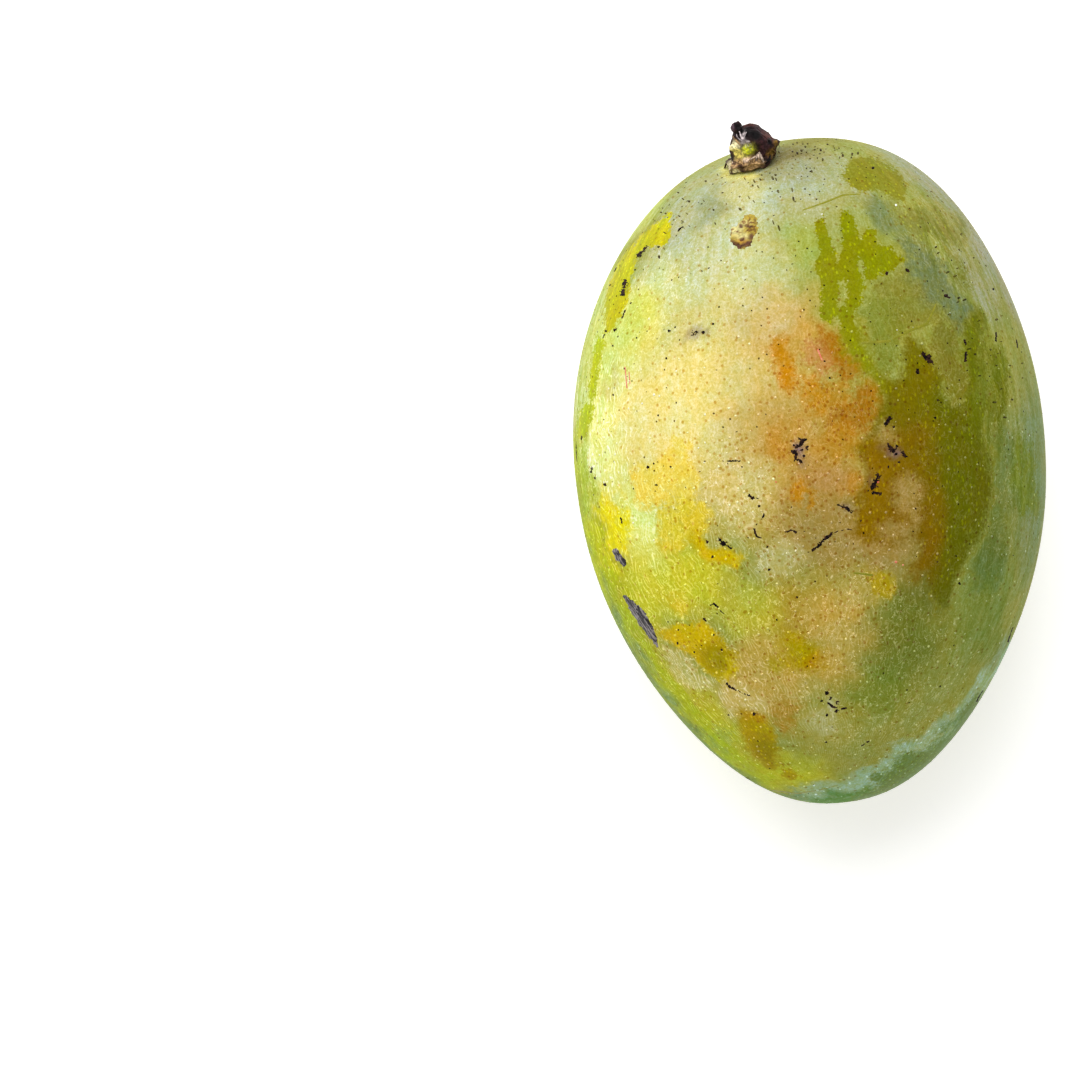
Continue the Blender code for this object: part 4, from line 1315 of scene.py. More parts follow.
@dataclass
class FruitSkin:
    """The painted skin of the whole fruit."""

    form: FruitForm
    view: CameraView
    cells: int = 128
    overlap: float = 0.5
    half_length: float = 0.068
    half_width: float = 0.055
    bends: tuple = ((0.0055, 2.4), (0.0016, 0.9))
    hidden_patches: int = 34
    hidden_seed: int = 5

    def build(self) -> bpy.types.Object:
        """Makes the skin, gives it its finish and paints it."""
        directions, faces = self.form.ball(self.cells)
        obj = add_mesh("fruit_skin", self.form.lying(directions), faces, SkinFinish().build())
        self.press(obj)
        self.canvas = Canvas(obj, self.view)
        for grain, reach in self.bends:
            self.canvas.wander(grain, reach)
        self.paint()
        return obj

    def press(self, obj: bpy.types.Object) -> None:
        """Presses the shallow furrows into the skin, and raises the swellings beside them."""
        canvas = Canvas(obj, self.view)
        push = np.zeros(len(canvas.points))
        for fold in FOLDS:
            reach = canvas.along(fold.path) / fold.half_width
            push += fold.height * np.exp(-reach ** 2)
        push[canvas.facing < 0] = 0.0
        canvas.move(canvas.points + canvas.normals * push[:, None])

    def paint(self) -> None:
        """Paints every layer that the finish reads."""
        canvas = self.canvas
        ground = canvas.airbrush(Tint.BLOOM, GROUND_DABS)
        canvas.store("ground", ground)
        tinged = canvas.spread(ground, TINGED_PATCHES)
        canvas.store("tinged", tinged)
        depth, softness = self.depth(TINGED_PATCHES, [], self.overlap)
        tone = ground + (tinged - ground) * np.clip(depth / 1.5 + 0.5, 0.0, 1.0)[:, None]
        canvas.store("tinge", depth)
        canvas.store("tinge_softness", softness)
        plain = canvas.airbrush(Tint.OCHRE_GOLD, HIDDEN_DABS)
        rubbed = canvas.airbrush(None, RUBBED_DABS, canvas.spread(plain, RUBBED_PATCHES))
        canvas.store("rubbed", rubbed)
        depth, softness = self.depth(RUBBED_PATCHES, self.hidden_layers())
        for patch in KEPT_PATCHES:
            depth = np.minimum(depth, -canvas.inside(patch.outline))
        canvas.store("rub", depth)
        canvas.store("rub_softness", softness)
        canvas.store("tone", tone + (rubbed - tone) * np.clip(depth / 1.2 + 0.5, 0.0, 1.0)[:, None])
        length = canvas.points[:, 1] / self.half_length
        canvas.store("curl", self.washed(0.28, CURL_TOUCHES))
        canvas.store("ripple", self.washed(0.22, RIPPLE_TOUCHES))
        canvas.store("streak", self.washed(0.20, STREAK_TOUCHES))
        canvas.store("stipple", self.stipple())
        freckles = np.clip(0.16 + 0.26 * length, 0.05, 0.4)
        canvas.store("freckles", np.maximum(freckles, self.washed(0.0, FRECKLE_TOUCHES)))
        canvas.store("flecks", self.washed(0.0, FLECK_TOUCHES))
        side = np.clip(1.0 - canvas.points[:, 0] / self.half_width, 0.35, 1.0)
        canvas.store("specks", np.clip(0.55 - 0.9 * length, 0.03, 1.0) * side)

    def depth(self, patches: tuple, layers: list, wider: float = 0.0) -> tuple[np.ndarray, np.ndarray]:
        """Returns how deep inside patches each point is, and how soft the edge is there.

        Args:
            patches: the patches of the picture.
            layers: the depth inside further patches, and their softness.
            wider: how far the patches reach past their outlines, in millimetres.
        """
        canvas, count = self.canvas, len(self.canvas.points)
        depth, softness = np.full(count, -canvas.deepest), np.full(count, 0.4)
        best = np.full(count, -FAR)
        front = [(canvas.inside(patch.outline, patch.softness) + wider, patch.softness)
                 for patch in patches]
        for inside, soft in front + layers:
            share = inside / soft
            nearer = share > best
            best = np.where(nearer, share, best)
            depth = np.where(nearer, inside, depth)
            softness = np.where(nearer, soft, softness)
        return np.clip(depth, -canvas.deepest, canvas.deepest), softness

    def hidden_layers(self) -> list:
        """Returns seeded rubbed patches for the sides that the picture hides."""
        canvas = self.canvas
        rng = np.random.default_rng(self.hidden_seed)
        layers = []
        for _ in range(self.hidden_patches):
            direction = rng.normal(size=3)
            direction[2] = -abs(direction[2]) * 0.8
            direction = direction / np.linalg.norm(direction)
            middle = canvas.spot(tuple(direction * (52, 74, 46) + (0, 0, 43)))
            reach = rng.uniform(1.5, 6.0)
            long_way = rng.uniform(1.0, 2.2)
            away = (canvas.points - middle) * 1000 + canvas.drift * 1.6
            bend = 1.0 + 0.25 * np.sin(away @ rng.normal(size=3) * 0.45 + rng.uniform(0, 6))
            far = np.sqrt(away[:, 0] ** 2 + (away[:, 1] / long_way) ** 2 + away[:, 2] ** 2)
            rim = (canvas.turned_away + 0.1 - canvas.facing) * canvas.limb
            layers.append((np.minimum(reach * bend - far, rim), rng.uniform(0.5, 2.4)))
        return layers

    def washed(self, base: float, touches: Sequence[tuple]) -> np.ndarray:
        """Returns a layer of numbers made of soft touches.

        Args:
            base: the number where no touch falls.
            touches: the place, reach, strength and turn of each, as for a dab.
        """
        amount = np.full(len(self.canvas.points), base)
        for at, reach, strength, turn in touches:
            amount = np.maximum(amount, strength * self.canvas.cover(at, reach, turn))
        return amount

    def stipple(self) -> np.ndarray:
        """Returns how thick the fine dots stand, thickest round the warm middle of the cheek."""
        canvas = self.canvas
        amount = np.full(len(canvas.points), 0.16)
        for at, reach, strength in (((825, 450), 17, 0.9), ((790, 520), 20, 0.75), ((840, 600), 16, 0.7),
                                    ((725, 480), 18, 0.55), ((690, 360), 20, 0.35), ((760, 650), 18, 0.5)):
            far = np.linalg.norm((canvas.points - canvas.spot(at)) * 1000, axis=1) / reach
            amount = np.maximum(amount, strength * np.exp(-far ** 2))
        return amount
class Cheek:
    """Places points on the skin, either where the camera sees a pixel or round a point of a hidden side.

    A mark near the rim is at most `longest` times as long as the picture shows it. A hidden place is
    reached from a height of `above` metres.
    """

    longest: float = 2.0
    above: float = 0.02

    def __init__(self, skin: FruitSkin, middle: Optional[Sequence[float]] = None) -> None:
        """Takes the skin, and the middle of the hidden place if there is one."""
        self.skin = skin
        self.middle = None
        self.squeeze = 0.0
        if middle is not None:
            place, normal = skin.canvas.tree.find_nearest(Vector(middle))[:2]
            self.middle, self.out = place, normal
            self.across = normal.cross(Vector((0.0, 1.0, 0.0))).normalized()
            self.along = self.across.cross(normal)

    def aim(self, x: float, y: float) -> None:
        """Takes the pixel of a mark's middle, so that a mark near the rim isn't drawn out."""
        if self.middle is not None:
            return
        self.squeeze = 0.0
        self.anchor, normal = self.locate(x, y)
        direction = self.skin.view.ray(x, y)[1]
        facing = -normal.dot(direction)
        self.slant = (direction + normal * facing).normalized()
        self.squeeze = max(0.0, 1.0 - self.longest * facing)

    def locate(self, x: float, y: float) -> tuple[Vector, Vector]:
        """Returns the skin's point and normal for a pixel, or for a step from the hidden middle."""
        if self.middle is None:
            start, direction = self.skin.view.ray(x, y)
        else:
            step = Canvas.pixel_size / 1000
            start = self.middle + self.across * x * step - self.along * y * step + self.out * self.above
            direction = -self.out
        place, normal = self.skin.canvas.hit(start, direction)
        if self.squeeze:
            extra = (place - self.anchor).dot(self.slant) * self.squeeze
            place, normal = self.skin.canvas.tree.find_nearest(place - self.slant * extra)[:2]
        return place, normal


@dataclass(frozen=True)
class MarkShape:
    """How one kind of mark stands on the skin. Its height and pits are in metres, the rest in pixels."""

    height: float
    rim: float = 1.0
    ragged: float = 0.5
    wave: float = 2.2
    step: float = 0.8
    pits: float = 0.0


MARK_SHAPES = {
    MarkKind.INK: MarkShape(0.00007, 1.0, 4.4, 1.5, 0.4),
    MarkKind.SCAB: MarkShape(0.00022, 1.6, 2.4, 2.2, 0.8, 0.00012),
    MarkKind.CORK: MarkShape(0.00008, 1.2, 3.0, 2.2, 0.8, 0.00006),
    MarkKind.RUST: MarkShape(0.00005, 1.0, 0.4, 1.6, 0.7),
    MarkKind.PALE: MarkShape(0.00008, 1.0, 0.1, 2.0, 0.5),
    MarkKind.WORN: MarkShape(0.00003, 0.8, 0.45, 2.4, 0.8),
}


@dataclass(frozen=True)
class MarkFinish:
    """The finish of one kind of mark: two colours, the grain between them and its roughness."""

    name: str
    dark: tuple
    light: tuple
    grain: float
    roughness: float
    drawn: float = 1.0
    lie: float = 0.0
    gloss: float = 0.25

    def build(self) -> bpy.types.Material:
        """Makes the material."""
        material, sheet, shader = new_finish(self.name)
        place = sheet.combed(self.drawn, self.lie)
        share = sheet.remap(sheet.noise(place, self.grain, 2.0, 0.5), 0.42, 0.66)
        colour = sheet.blend(share, as_linear(self.dark), as_linear(self.light))
        sheet.feed(shader.inputs["Base Color"], colour)
        fine = sheet.noise(place, self.grain * 0.4, 1.0)
        rough = sheet.remap(fine, 0.2, 0.8, (self.roughness - 0.1, self.roughness + 0.1))
        sheet.feed(shader.inputs["Roughness"], rough)
        sheet.bump(shader, fine, 0.7, 0.00008)
        shader.inputs["Specular IOR Level"].default_value = self.gloss
        return material


@dataclass(frozen=True)
class ScarFinish:
    """The corky scar's finish: painted tan with dark crumbs."""

    name: str = "corky_scar"
    grain: float = 0.0006
    crumb: float = 0.0011

    def build(self) -> bpy.types.Material:
        """Makes the material."""
        material, sheet, shader = new_finish(self.name)
        place = sheet.stretched((1.0, 1.0, 1.0))
        crumbs = sheet.noise(place, self.grain, 2.0, 0.5)
        shade = sheet.remap(crumbs, 0.36, 0.62, (0.74, 1.10))
        colour = sheet.tinted(sheet.attribute("scar", True), sheet.grey(shade))
        dark = sheet.remap(sheet.noise(place, self.crumb, 1.5, 0.4), 0.47, 0.39, (0.0, 0.85))
        colour = sheet.blend(dark, colour, sheet.tinted(colour, (0.42, 0.24, 0.18, 1.0)))
        sheet.feed(shader.inputs["Base Color"], colour)
        shader.inputs["Roughness"].default_value = 0.7
        shader.inputs["Specular IOR Level"].default_value = 0.25
        return material


MARK_FINISHES = {
    MarkKind.INK: MarkFinish("dried_sap_dark", (14, 8, 10), (60, 38, 30), 0.0006, 0.6, gloss=0.04),
    MarkKind.SCAB: MarkFinish("silver_scab", (28, 22, 26), (142, 134, 134), 0.0005, 0.5, 5.0, 0.59),
    MarkKind.CORK: ScarFinish(),
    MarkKind.RUST: MarkFinish("rust_fleck", (205, 104, 76), (226, 150, 118), 0.0006, 0.55),
    MarkKind.PALE: MarkFinish("pale_wax_dot", (236, 240, 232), (252, 252, 250), 0.0005, 0.35),
    MarkKind.WORN: MarkFinish("worn_line_green", (124, 124, 16), (140, 136, 30), 0.0010, 0.45),
}


@dataclass
class Blemishes:
    """Scars, scratches and spots, each a low ragged body on the skin."""

    skin: FruitSkin
    sunk: float = 0.00008
    seed: int = 23
    hidden_marks: int = 90

    def build(self) -> list:
        """Makes one piece for each kind of mark."""
        made = []
        hidden = self.hidden_runs()
        front = Cheek(self.skin)
        for kind, runs in MARKS.items():
            points, faces = [], []
            for run in runs:
                self.add_body(front, run, MARK_SHAPES[kind], points, faces)
            for cheek, run in hidden.get(kind, ()):
                self.add_body(cheek, run, MARK_SHAPES[kind], points, faces)
            made.append(add_mesh(kind.value, np.array(points), faces, MARK_FINISHES[kind].build()))
            if kind is MarkKind.CORK:
                canvas = Canvas(made[-1], self.skin.view)
                canvas.wander(0.0008, 0.4)
                canvas.store("scar", canvas.airbrush(Tint.SCAR, SCAR_DABS))
        return made

    def hidden_runs(self) -> dict:
        """Returns seeded marks for the sides that the picture hides, by kind."""
        rng = np.random.default_rng(self.seed)
        runs = {MarkKind.INK: [], MarkKind.SCAB: [], MarkKind.RUST: []}
        for number in range(self.hidden_marks):
            direction = rng.normal(size=3)
            direction[2] = -abs(direction[2])
            direction = direction / np.linalg.norm(direction)
            middle = direction * (0.052, 0.074, 0.046) + (0.0, 0.0, MIDDLE_HEIGHT)
            size = rng.uniform(0.9, 2.2)
            turn = rng.uniform(0.0, 2 * math.pi)
            reach = rng.choice((0.0, 2.0, 6.0), p=(0.6, 0.3, 0.1))
            run = ((0.0, 0.0, size), (reach * math.cos(turn), reach * math.sin(turn), size * 0.6))
            kind = MarkKind.RUST if number % 15 == 4 else MarkKind.INK
            if number % 22 == 7:
                kind = MarkKind.SCAB
                run = ((0.0, 0.0, size * 1.8), (8.0 * math.cos(turn), 8.0 * math.sin(turn), size * 2.4))
            runs[kind].append((Cheek(self.skin, middle), run))
        return runs

    def add_body(self, cheek: Cheek, run: tuple, shape: MarkShape, points: list, faces: list) -> None:
        """Adds one mark as a closed low body.

        Args:
            cheek: what places it on the skin.
            run: its points, each across, down and half width in pixels.
            shape: how it stands.
            points: the corner points so far, which it adds to.
            faces: the faces so far, which it adds to.
        """
        corners = np.array(run).reshape(-1, 3)
        pad = corners[:, 2].max() + shape.ragged + 1.5 * shape.step
        low, high = corners[:, :2].min(axis=0) - pad, corners[:, :2].max(axis=0) + pad
        cheek.aim(*((low + high) / 2))
        across = np.arange(low[0], high[0] + shape.step, shape.step)
        down = np.arange(low[1], high[1] + shape.step, shape.step)
        grid = np.stack(np.meshgrid(across, down, indexing="ij"), axis=-1)
        inside = self.run_depth(grid.reshape(-1, 2), corners, shape).reshape(grid.shape[:2])
        kept = {}
        for i in range(len(across) - 1):
            for j in range(len(down) - 1):
                if inside[i:i + 2, j:j + 2].max() > 0.0:
                    for a, b in ((i, j), (i + 1, j), (i + 1, j + 1), (i, j + 1)):
                        kept.setdefault((a, b), None)
        if not kept:
            return
        first = len(points)
        for number, (i, j) in enumerate(kept):
            kept[(i, j)] = first + number
            points.append(self.raised(cheek, grid[i, j], inside[i, j], shape))
        under = first + len(kept)
        for i, j in kept:
            place, normal = cheek.locate(*grid[i, j])
            points.append(tuple(place - normal * self.sunk * 2.5))
        edges = {}
        for i, j in kept:
            ring = [kept.get(key) for key in ((i, j), (i + 1, j), (i + 1, j + 1), (i, j + 1))]
            if None in ring or inside[i:i + 2, j:j + 2].max() <= 0.0:
                continue
            faces.append(tuple(ring))
            faces.append(tuple(corner - first + under for corner in reversed(ring)))
            for a, b in zip(ring, ring[1:] + ring[:1]):
                if (b, a) in edges:
                    edges.pop((b, a))
                else:
                    edges[(a, b)] = True
        for a, b in edges:
            faces.append((b, a, a - first + under, b - first + under))

    def raised(self, cheek: Cheek, pixel: np.ndarray, inside: float, shape: MarkShape) -> tuple:
        """Returns the upper point of a mark at this pixel, sunk into the skin outside its edge."""
        place, normal = cheek.locate(*pixel)
        rise = min(max(inside / shape.rim, -1.0), 1.0)
        height = shape.height * math.sin(rise * math.pi / 2) if rise > 0 else self.sunk * rise
        if shape.pits and rise > 0.5:
            height += shape.pits * noise.noise(Vector((pixel[0] / 2.0, pixel[1] / 2.0, 5.0)))
        return tuple(place + normal * height)

    @staticmethod
    def run_depth(pixels: np.ndarray, corners: np.ndarray, shape: MarkShape) -> np.ndarray:
        """Returns how far each pixel is inside a run of tapered strokes, in pixels, with a ragged edge."""
        depth = np.full(len(pixels), -FAR)
        ends = corners[1:] if len(corners) > 1 else corners
        for start, end in zip(corners, ends):
            distance, along = from_line(pixels, start[:2], end[:2])
            depth = np.maximum(depth, start[2] + along * (end[2] - start[2]) - distance)
        wave = []
        for x, y in pixels:
            spot = Vector((x / shape.wave, y / shape.wave, 3.0))
            wave.append(0.65 * noise.noise(spot) + 0.55 * noise.noise(spot / 2.3))
        ragged = shape.ragged * float(np.clip((corners[:, 2].max() - 0.6) / 2.2, 0.3, 1.0))
        return depth - 0.15 * ragged + ragged * np.array(wave)


@dataclass(frozen=True)
class LenticelFinish:
    """The finish of one kind of lenticel: how many times darker or lighter than the skin it is."""

    name: str
    low: tuple
    high: tuple
    roughness: float
    waxy: float = 0.0

    def build(self) -> bpy.types.Material:
        """Makes the material."""
        material, sheet, shader = new_finish(self.name)
        place = sheet.stretched((1.0, 1.0, 1.0))
        share = sheet.remap(sheet.noise(place, 0.0015, 1.0), 0.35, 0.65)
        times = sheet.blend(share, (*self.low, 1.0), (*self.high, 1.0))
        colour = sheet.tinted(sheet.attribute("tone", True), times)
        colour = sheet.blend(self.waxy, colour, (0.80, 0.78, 0.58, 1.0))
        colour = sheet.tinted(colour, (0.88, 0.87, 0.74, 1.0), "DARKEN")
        sheet.feed(shader.inputs["Base Color"], colour)
        shader.inputs["Roughness"].default_value = self.roughness
        shader.inputs["Specular IOR Level"].default_value = 0.05
        return material


@dataclass
class Lenticels:
    """The skin's breathing pores: tiny domes scattered by a node tree that follows a painted density.

    The spacing and the radius are in metres, the density is the most on a square metre, the rise is a share
    of the radius, and the stretch says how many times longer than wide a dome is.
    """

    skin: FruitSkin
    name: str
    density_layer: str
    finish: LenticelFinish
    spacing: float
    density: float
    radius: float
    rise: float
    seed: int
    stretch: float = 1.0

    def tree(self) -> bpy.types.NodeTree:
        """Makes the node tree, with named inputs for its sizes."""
        tree = bpy.data.node_groups.new(self.name + "_scatter", "GeometryNodeTree")
        face = tree.interface
        face.new_socket("Skin", in_out="INPUT", socket_type="NodeSocketGeometry")
        for label in ("Spacing", "Density", "Radius", "Rise", "Stretch"):
            face.new_socket(label, in_out="INPUT", socket_type="NodeSocketFloat")
        face.new_socket("Seed", in_out="INPUT", socket_type="NodeSocketInt")
        face.new_socket("Finish", in_out="INPUT", socket_type="NodeSocketMaterial")
        face.new_socket("Lenticels", in_out="OUTPUT", socket_type="NodeSocketGeometry")
        sheet = NodeSheet(tree)
        given = sheet.add("NodeGroupInput").outputs
        layer = sheet.add("GeometryNodeInputNamedAttribute", data_type="FLOAT")
        layer.inputs["Name"].default_value = self.density_layer
        scatter = sheet.add("GeometryNodeDistributePointsOnFaces", distribute_method="POISSON")
        sheet.fill(scatter, {"Mesh": given["Skin"], "Distance Min": given["Spacing"],
                             "Density Max": given["Density"], "Density Factor": layer.outputs["Attribute"],
                             "Seed": given["Seed"]})
        dome = sheet.add("GeometryNodeMeshIcoSphere")
        sheet.fill(dome, {"Subdivisions": 1, "Radius": given["Radius"]})
        size = sheet.add("FunctionNodeRandomValue", data_type="FLOAT_VECTOR")
        sheet.fill(size, {"Min": (0.45, 0.45, 0.8), "Max": (1.35, 1.45, 1.2), "Seed": given["Seed"]})
        flat = sheet.add("ShaderNodeCombineXYZ")
        sheet.fill(flat, {"X": 1.0, "Y": given["Stretch"], "Z": given["Rise"]})
        scale = sheet.add("ShaderNodeVectorMath", operation="MULTIPLY")
        sheet.feed(scale.inputs[0], size.outputs["Value"])
        sheet.feed(scale.inputs[1], flat.outputs[0])
        place = sheet.add("GeometryNodeInstanceOnPoints")
        sheet.fill(place, {"Points": scatter.outputs["Points"], "Instance": dome.outputs["Mesh"],
                           "Rotation": scatter.outputs["Rotation"], "Scale": scale.outputs[0]})
        real = sheet.add("GeometryNodeRealizeInstances")
        sheet.feed(real.inputs[0], place.outputs[0])
        dress = sheet.add("GeometryNodeSetMaterial")
        sheet.fill(dress, {"Geometry": real.outputs[0], "Material": given["Finish"]})
        sheet.feed(sheet.add("NodeGroupOutput").inputs[0], dress.outputs[0])
        return tree

    def build(self) -> bpy.types.Object:
        """Scatters the lenticels and returns them as one plain mesh."""
        guide = add_object(self.name + "_guide", self.skin.canvas.obj.data.copy())
        modifier = guide.modifiers.new("scatter", "NODES")
        modifier.node_group = self.tree()
        material = self.finish.build()
        values = {"Spacing": self.spacing, "Density": self.density, "Radius": self.radius,
                  "Rise": self.rise, "Seed": self.seed, "Stretch": self.stretch, "Finish": material}
        for item in modifier.node_group.interface.items_tree:
            if item.in_out == "INPUT" and item.name in values:
                modifier[item.identifier] = values[item.name]
        evaluated = guide.evaluated_get(bpy.context.evaluated_depsgraph_get())
        mesh = bpy.data.meshes.new_from_object(evaluated)
        bpy.data.objects.remove(guide, do_unlink=True)
        mesh.name = self.name
        mesh.materials.clear()
        mesh.materials.append(material)
        mesh.shade_smooth()
        return add_object(self.name, mesh)
class Bark(Enum):
    """The colours of the stub, red, green and blue from 0 to 255."""

    PITCH = (8, 5, 6)
    UMBER = (50, 26, 28)
    MAROON = (80, 38, 30)
    # Painted grey-purple highlight on the dark stub
    SMOKE = (92, 72, 80)
    ASH = (206, 192, 192)
    CREAM = (232, 222, 172)
    STRAW = (222, 206, 104)
    FLESH = (178, 182, 16)
    DEEP_FLESH = (96, 92, 0)
    TAN = (176, 142, 98)
    PALE_TAN = (216, 192, 172)
    RUSSET = (84, 46, 30)
    OCHRE = (112, 84, 26)


STUB_DABS = (
    Dab(Bark.MAROON, (768, 136), (2.0, 1.0), 0.9),
    Dab(Bark.PITCH, (745, 132), (2.6, 1.5)),
    Dab(Bark.PITCH, (737, 126), (0.9, 0.9)),
    Dab(Bark.PITCH, (756, 136), (1.5, 1.6)),
    Dab(Bark.PITCH, (770, 142), (0.7, 0.9)),
    Dab(Bark.PITCH, (764, 146), (0.9, 0.8), 0.8),
    # Painted grey-purple highlight on the knob's rim
    Dab(Bark.SMOKE, (732, 127), (0.4, 1.3), 0.8),
    Dab(Bark.MAROON, (750, 124), (2.2, 0.4), 0.8),
    # Painted grey-purple highlight on the dark right side
    Dab(Bark.SMOKE, (764, 152), (0.5, 0.8), 0.7),
    Dab(Bark.ASH, (743, 140), (0.55, 0.9), 0.95),
    Dab(Bark.ASH, (744, 134), (0.22, 0.9), 0.8, -20),
    Dab(Bark.ASH, (748, 141), (0.4, 0.25), 0.8),
    Dab(Bark.CREAM, (733, 146), (1.5, 1.2), 0.95),
    Dab(Bark.RUSSET, (736, 140), (0.25, 0.8), 0.9, 40),
    Dab(Bark.STRAW, (735, 152), (1.4, 1.1), 0.95),
    Dab(Bark.STRAW, (741, 158), (1.8, 0.9), 0.9),
    Dab(Bark.DEEP_FLESH, (752, 149), (1.5, 1.3), 0.9),
    Dab(Bark.FLESH, (747, 151), (1.5, 1.1)),
    Dab(Bark.UMBER, (762, 150), (1.1, 2.0), 0.9),
    Dab(Bark.STRAW, (740, 153), (1.2, 1.0), 0.8),
    Dab(Bark.TAN, (740, 164), (3.6, 1.1), 0.9),
    Dab(Bark.TAN, (752, 163), (2.4, 1.3), 0.9),
    Dab(Bark.OCHRE, (772, 153), (1.5, 1.1), 0.95),
    Dab(Bark.OCHRE, (776, 143), (0.6, 1.1), 0.95),
    Dab(Bark.PITCH, (732, 158), (0.5, 0.7), 0.95),
    Dab(Bark.CREAM, (729, 165), (0.5, 1.4), 0.8),
    Dab(Bark.TAN, (750, 168), (1.2, 0.8), 0.7),
    Dab(Bark.CREAM, (736, 171), (0.9, 0.5), 0.8),
    Dab(Bark.UMBER, (741, 167), (0.9, 0.7), 0.95),
    Dab(Bark.UMBER, (734, 163), (0.5, 0.6), 0.9),
    Dab(Bark.PALE_TAN, (746, 160), (1.0, 0.5), 0.7),
    Dab(Bark.UMBER, (754, 170), (0.4, 0.5), 0.8),
    Dab(Bark.PITCH, (768, 160), (1.6, 0.4), 0.95),
    Dab(Bark.PITCH, (758, 147), (0.4, 1.0), 0.7),
)

# Hollows and swellings of the stub: pixel, reach in millimetres, and height in metres
STUB_RELIEF = (
    ((737, 126), (0.7, 0.7), -0.00035), ((752, 128), (0.5, 0.4), -0.00025),
    ((755, 136), (1.0, 0.9), -0.00045), ((746, 134), (0.4, 0.7), -0.00025),
    ((743, 138), (0.32, 1.1), 0.00038), ((738, 134), (0.25, 0.9), 0.00022),
    ((770, 142), (0.6, 0.7), -0.00035), ((765, 148), (0.9, 0.9), 0.00030),
    ((748, 150), (1.2, 1.0), 0.00035), ((732, 158), (0.5, 0.6), -0.00045),
    ((741, 168), (0.8, 0.5), -0.00030), ((734, 148), (1.0, 0.6), 0.00025),
    ((735, 141), (0.25, 0.8), -0.00025), ((774, 153), (1.0, 0.8), 0.00025),
    ((760, 150), (0.3, 1.1), -0.00025),
)


@dataclass(frozen=True)
class Flake:
    """One flake of the collar: its pixels from root to tip, half its width in pixels, and its tint."""

    path: tuple
    half_width: float
    tint: Bark


FRONT_FLAKES = (
    Flake(((759, 152), (762, 157), (764, 164)), 1.7, Bark.PALE_TAN),
    Flake(((758, 153), (760, 160), (760, 168)), 1.5, Bark.PALE_TAN),
    Flake(((757, 154), (757, 161), (755, 170)), 1.3, Bark.PALE_TAN),
    Flake(((755, 155), (753, 160), (751, 167)), 1.3, Bark.TAN),
    Flake(((757, 155), (753, 157), (748, 161)), 0.8, Bark.PALE_TAN),
    Flake(((750, 160), (748, 165), (746, 171)), 1.2, Bark.TAN),
    Flake(((733, 161), (734, 166), (738, 173)), 1.2, Bark.PALE_TAN),
    Flake(((736, 160), (739, 163), (745, 165)), 1.0, Bark.TAN),
    Flake(((744, 163), (745, 167), (743, 172)), 1.0, Bark.RUSSET),
    Flake(((773, 150), (776, 154), (775, 158)), 1.2, Bark.OCHRE),
    Flake(((775, 143), (778, 146), (780, 148)), 0.9, Bark.UMBER),
    Flake(((770, 155), (768, 160), (765, 163)), 1.4, Bark.PITCH),
    Flake(((763, 158), (763, 163), (760, 168)), 1.2, Bark.PITCH),
    Flake(((733, 136), (738, 141), (741, 146)), 0.9, Bark.TAN),
    Flake(((739, 131), (741, 136), (743, 142)), 0.9, Bark.ASH),
    Flake(((747, 132), (745, 137), (743, 143)), 0.6, Bark.ASH),
    Flake(((737, 134), (739, 138), (743, 141)), 0.6, Bark.ASH),
)


@dataclass(frozen=True)
class Nudge:
    """A gentle push of the stub's form in the picture: where, how far, and its reach, all in pixels."""

    at: tuple
    step: tuple
    reach: float


NUDGES = (
    Nudge((775, 131), (-1.5, 6.0), 8.0),
    Nudge((764, 126), (-1.0, 3.0), 6.0),
    Nudge((738, 181), (1.0, -10.5), 12.0),
    Nudge((756, 178), (0.0, -10.0), 11.0),
    Nudge((720, 170), (6.0, -4.0), 8.0),
    Nudge((770, 166), (0.0, -4.0), 7.0),
    Nudge((731, 147), (-3.5, 0.0), 6.0),
    Nudge((731, 164), (-4.0, 0.0), 7.0),
    Nudge((778, 148), (0.0, 1.0), 5.0),
)


@dataclass(frozen=True)
class StubFinish:
    """The stub's finish: painted bark with grain, dry but for its glossy cut flesh."""

    name: str
    grain: float = 0.00035
    fibre: float = 0.0007

    def build(self) -> bpy.types.Material:
        """Makes the material."""
        material, sheet, shader = new_finish(self.name)
        place = sheet.stretched((1.0, 1.0, 1.0))
        fine = sheet.noise(place, self.grain, 2.0)
        broad = sheet.noise(place, self.fibre, 1.0, 0.4)
        colour = sheet.attribute("bark", True)
        for wave, low, high in ((broad, 0.62, 1.42), (fine, 0.78, 1.25)):
            shade = sheet.remap(wave, 0.32, 0.68, (low, high))
            colour = sheet.tinted(colour, sheet.grey(shade))
        sheet.feed(shader.inputs["Base Color"], colour)
        gloss = sheet.attribute("gloss")
        sheet.feed(shader.inputs["Roughness"], sheet.remap(gloss, 0.0, 1.0, (0.62, 0.16)))
        shader.inputs["Specular IOR Level"].default_value = 0.15
        sheet.feed(shader.inputs["Specular IOR Level"], sheet.remap(gloss, 0.0, 1.0, (0.12, 0.6)))
        sheet.bump(shader, sheet.math("ADD", sheet.times(fine, 0.5), broad), 0.8, 0.00015)
        return material


